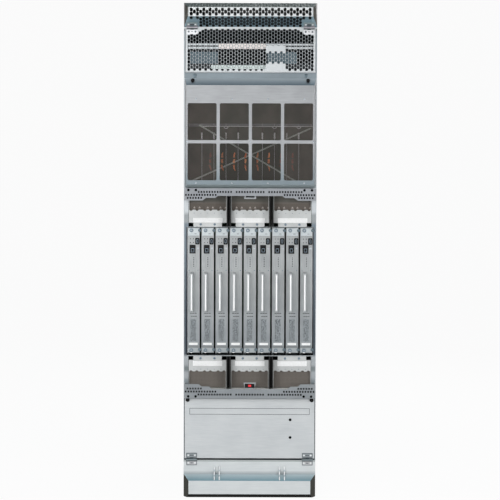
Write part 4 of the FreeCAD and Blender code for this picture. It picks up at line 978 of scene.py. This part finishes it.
def makeHingeScrews():
    # one leaf's trim at both sides; on the hood it is turned to run along the slope
    g = hinges
    door, fixed, low = [], [], []
    run, rise = g["slope"]
    along = np.array([0, -run, rise]) / math.hypot(run, rise)
    out = np.array([0, -rise, -run]) / math.hypot(run, rise)
    for s in (-1, 1):
        x = s * g["x"]
        door += leafTrim(x, *g["upper"], g["door"], None, (5, 1.2), hingeRim)
        low += leafTrim(x, *g["lower"], g["door"], hingeRim, (9, 3.4), brightZinc)
        fixed += leafTrim(x, *g["kick"], g["plinth"], paleRim, (6, 2.2), brightZinc)
        for (p, f), finish in leafTrim(x, *g["laid"], -2.0, None, (10, 5), brightZinc):
            # the leaf's flat points laid on the hood's slope
            laid = g["root"] + p[:, :1] * [1, 0, 0] + p[:, 2:] * along - p[:, 1:2] * out
            fixed.append(((laid, f), finish))
    putPiece("fanDoorHingeScrews", door, "fan_door")
    putPiece("lowerDoorHingeScrews", low, "lower_door")
    putPiece("fixedHingeScrews", fixed, "cabinet")


makeHingeScrews()
print("door trim and hinge screws made")


# bright beads along the kick cover's gussets: white painted highlights on the gusset edges, in three lengths
# like the lit stretches

beads = {"x": (-161.5, -138.5, 138.5, 161.5), "top": (-441.0, 141.0), "foot": (-477.0, 81.5), "radius": 3.0,
         "lengths": ((0.0, 0.27), (0.37, 0.63), (0.73, 1.0))}


def makeBeads():
    # each bead's radius is full along it and falls off close to its ends
    g = beads
    share = np.linspace(0, 1, 9)[:, None]
    swell = np.sqrt(np.clip(1 - (2 * share[:, 0] - 1) ** 10, 0.1, 1)) * g["radius"]
    parts = []
    for a, b in g["lengths"]:
        at = a + (b - a) * share
        line = np.array(g["top"]) * (1 - at) + np.array(g["foot"]) * at
        parts += [(tubePart(np.insert(line, 0, x, axis=1), swell, swell, 12), gussetGlint) for x in g["x"]]
    putPiece("gussetHighlightBeads", parts, "cabinet")


makeBeads()


# black strips behind the tie holes of both brackets, a sheet of painted shade so the holes read dark, cut
# clear of the shelves

strips = {"front": -497.9, "back": -497.2,
          "boxes": [(-297, 297, 1405.3, 1421), (-297, 297, 1389, 1402.7), (-297, -160, 1380, 1388.8),
                    (160, 297, 1380, 1388.8), (-297, -220, 1368, 1379.8), (220, 297, 1368, 1379.8),
                    (-297, 297, 464.5, 501.7), (-297, -188, 504.3, 515.3), (188, 297, 504.3, 515.3),
                    (-297, -236, 515.5, 526.5), (236, 297, 515.5, 526.5)]}


def makeStrips():
    # straight bars between two depths
    s = strips
    box = np.array(s["boxes"], float)
    low, high = (np.insert(box[:, n::2], 1, y, axis=1) for n, y in ((0, s["front"]), (1, s["back"])))
    putPiece("tieHoleShadeFill", [(barsPart(low, high), shadeFillAndLensBlack)], "cabinet")


makeStrips()
print("beads and felt made")


# alarm lamp: bezel and red lens in the lower shelf tab

lamp = {"front": -482.0,
        "bezel": ((-22.5, 22.5, 509.0, 528.0), 1.5, 0.8, 0.5, nylon, (-17.5, 17.5, 512.5, 524.5), 1.0),
        "lens": ((-6.6, 6.6, 513.9, 523.1), 1.2, 0.6, 0.5, redLens)}


def makeLamp():
    # a rounded ring round a rounded plate
    parts = [stuckOn(lamp["front"], 0, *lamp[row]) for row in ("bezel", "lens")]
    putPiece("alarmLampTrim", parts, "cabinet")


makeLamp()


# card cage springs: copper strips beside each guide, each in three lobes of (foot, head, middle at both, half
# width at both)

springs = {"x": (-184.7, -129.7, -74.7, -22.2, 33, 85.3, 140.3, 194.3), "dull": (0, 6, 7), "y": -398.0,
           "thick": 2.5, "lobes": [(1503, 1531, 4.2, -2.5, 2.2, 4.6), (1538, 1557, -0.5, 0.5, 4.6, 5.2),
                                   (1564, 1587, -0.8, 2.8, 5.4, 2.4)]}


def makeSprings():
    s = springs
    t = np.linspace(0, 1, 13)
    back = [0, s["thick"], 0]
    parts = []
    for n, x in enumerate(s["x"]):
        for z0, z1, c0, c1, w0, w1 in s["lobes"]:
            # each lobe's middle and half width run from its foot to its head, with a small swell on the way
            middle = x + c0 + (c1 - c0) * t + 0.8 * np.sin(2 * np.pi * t + n)
            width = 0.85 * (w0 + (w1 - w0) * t + 0.7 * np.sin(np.pi * t))
            z = z0 + (z1 - z0) * t
            left = np.stack([middle - width, np.full_like(t, s["y"]), z], -1)
            right = np.stack([middle + width, np.full_like(t, s["y"] - 1), z], -1)
            points = np.stack([left, right, right + back, left + back], 1).reshape(-1, 3)
            ends = [(3, 2, 1, 0), tuple(range(len(points) - 4, len(points)))]
            faces = quadGrid(len(t), 4, True).tolist() + ends
            parts.append(((points, faces), dullCopper if n in s["dull"] else copper))
    putPiece("cageSprings", parts, "cabinet")


makeSprings()


# card guide ends: short bright bars on the guides under the rail, the rail's lower lip, three half-round ears

guides = {"pitch": 55.8, "places": (-4, -3, -2, -1, 1, 2, 3, 4), "face": -396.0,
          "bar": ((-3.4, 3.4, 1650, 1678), 1.0, 2.5, 0.3, brightZinc), "ears": (-111.6, 111.6, 223.2),
          "earZ": 1706, "earR": 10.5, "earWall": 4.2, "earDrop": 1.2,
          "lip": ((-226, 296, 1705.7, 1709.2), 1.0, 1.2, 0.3, brightZinc)}


def makeGuides():
    # rounded bars at the guides' pitch, half rings between two arcs, and a rounded lip
    g = guides
    f = g["face"]
    half = np.linspace(np.pi, 2 * np.pi, 17)
    arc = np.stack([np.cos(half), np.sin(half)], -1)
    parts = [stuckOn(f, n * g["pitch"], *g["bar"]) for n in g["places"]]
    for x in g["ears"]:
        at = np.array([x, g["earZ"]])
        inner = at - [0, g["earDrop"]] + arc * (g["earR"] - g["earWall"])
        parts.append((ringPart(at + arc * g["earR"], inner, f - 2, f + 0.3), brightZinc))
    parts.append(stuckOn(f, 0, *g["lip"]))
    putPiece("cageGuideEnds", parts, "cabinet")


makeGuides()
print("lamp, springs and guide ends made")


# stage, lights, camera, in metres

stage = {"front": -60.0, "wall": 16.0, "bend": 2.0, "top": 12.0, "half": 60.0, "share": 0.95}


def makeStage():
    # floor running up into a wall through a quarter circle, as a profile carried along x
    g = stage
    r = g["bend"]
    bend = np.linspace(-np.pi / 2, 0, 13)
    curve = np.stack([g["wall"] - r + r * np.cos(bend), r + r * np.sin(bend)], -1)
    profile = np.concatenate([[[g["front"], 0.0]], curve, [[g["wall"], g["top"]]]])
    points = np.stack([np.insert(profile, 0, x, axis=1) for x in (-g["half"], g["half"])], 1)
    mesh = bpy.data.meshes.new("sweep")
    mesh.from_pydata(points.reshape(-1, 3).tolist(), [], quadGrid(len(profile), 2).tolist())
    mesh.polygons.foreach_set("use_smooth", [True] * len(mesh.polygons))
    made = bpy.data.materials.new("whitePaperSweep")
    made.use_nodes = True
    tree = made.node_tree
    tree.nodes.clear()
    ray = addNode(tree, "LightPath").outputs
    seen = ray["Is Camera Ray"]  # paper for the light, nearly plain white for the eye
    for kind in ("Is Glossy Ray", "Is Transmission Ray"):
        seen = addNode(tree, "Math", {0: seen, 1: ray[kind]}, operation="MAXIMUM").outputs[0]
    share = addNode(tree, "Math", {0: seen, 1: g["share"]}, operation="MULTIPLY").outputs[0]
    paperWhite = addNode(tree, "BsdfDiffuse", {"Color": "#f4f4f4"}).outputs[0]
    plain = addNode(tree, "Emission", {"Color": "#ffffff", "Strength": 1.0}).outputs[0]
    both = addNode(tree, "MixShader", {0: share, 1: paperWhite, 2: plain}).outputs[0]
    addNode(tree, "OutputMaterial", {"Surface": both})
    mesh.materials.append(made)
    sweep = bpy.data.objects.new("sweep", mesh)
    bpy.context.collection.objects.link(sweep)


def makeSoftbox(name, size, power, place, target):
    # an area light turned about the upright and then tilted, so that it looks from place to target
    data = bpy.data.lights.new(name, "AREA")
    data.shape = "RECTANGLE"
    data.size, data.size_y = size
    data.energy = power
    made = bpy.data.objects.new(name, data)
    bpy.context.collection.objects.link(made)
    way = np.array(target, float) - np.array(place)
    turn = Matrix.Rotation(math.atan2(way[1], way[0]) - math.pi / 2, 4, "Z")
    tilt = Matrix.Rotation(math.pi / 2 + math.atan2(way[2], math.hypot(way[0], way[1])), 4, "X")
    made.matrix_world = Matrix.Translation(place) @ turn @ tilt


lights = {"front": ((3.2, 2.6), 151, (-2.4, -6.2, 1.9), (0, 0, 1.1)),
          "side": ((2.4, 2.6), 92, (3.0, -5.4, 1.6), (0, 0, 1.0)),
          "above": ((2.5, 2.5), 34, (0.0, -1.4, 4.6), (0, 0, 1.0)),
          "rear": ((3.0, 2.5), 60, (1.5, 3.6, 3.6), (0, 0, 1.0))}
camera = {"place": (0, -7.5, 1.42706), "pitch": 2.43, "roll": 0.157, "lens": 110.805, "shift": 0.0052,
          "sensor": 36, "reach": 200}


def makeView():
    # four soft lights, a pale room and a camera tilted down by its pitch
    for name, light in lights.items():
        makeSoftbox(name + "Softbox", *light)
    world = bpy.data.worlds.new("studio")
    bpy.context.scene.world = world
    world.use_nodes = True
    tree = world.node_tree
    tree.nodes.clear()
    seen = addNode(tree, "LightPath").outputs["Is Camera Ray"]  # white past the floor, for the eye only
    air = addNode(tree, "Background", {"Color": "#b4bcc4", "Strength": 0.35}).outputs[0]
    clear = addNode(tree, "Background", {"Color": "#ffffff", "Strength": 0.96}).outputs[0]
    both = addNode(tree, "MixShader", {0: seen, 1: air, 2: clear}).outputs[0]
    addNode(tree, "OutputWorld", {"Surface": both})
    data = bpy.data.cameras.new("view")
    data.lens = camera["lens"]
    data.sensor_width = camera["sensor"]
    data.shift_y = camera["shift"]
    data.clip_end = camera["reach"]
    made = bpy.data.objects.new("view", data)
    bpy.context.collection.objects.link(made)
    made.matrix_world = (Matrix.Translation(camera["place"])
                         @ Matrix.Rotation(math.radians(90 - camera["pitch"]), 4, "X")
                         @ Matrix.Rotation(math.radians(camera["roll"]), 4, "Z"))
    bpy.context.scene.camera = made
    bpy.context.scene.view_settings.view_transform = "Standard"


makeStage()
makeView()
print("stage set")
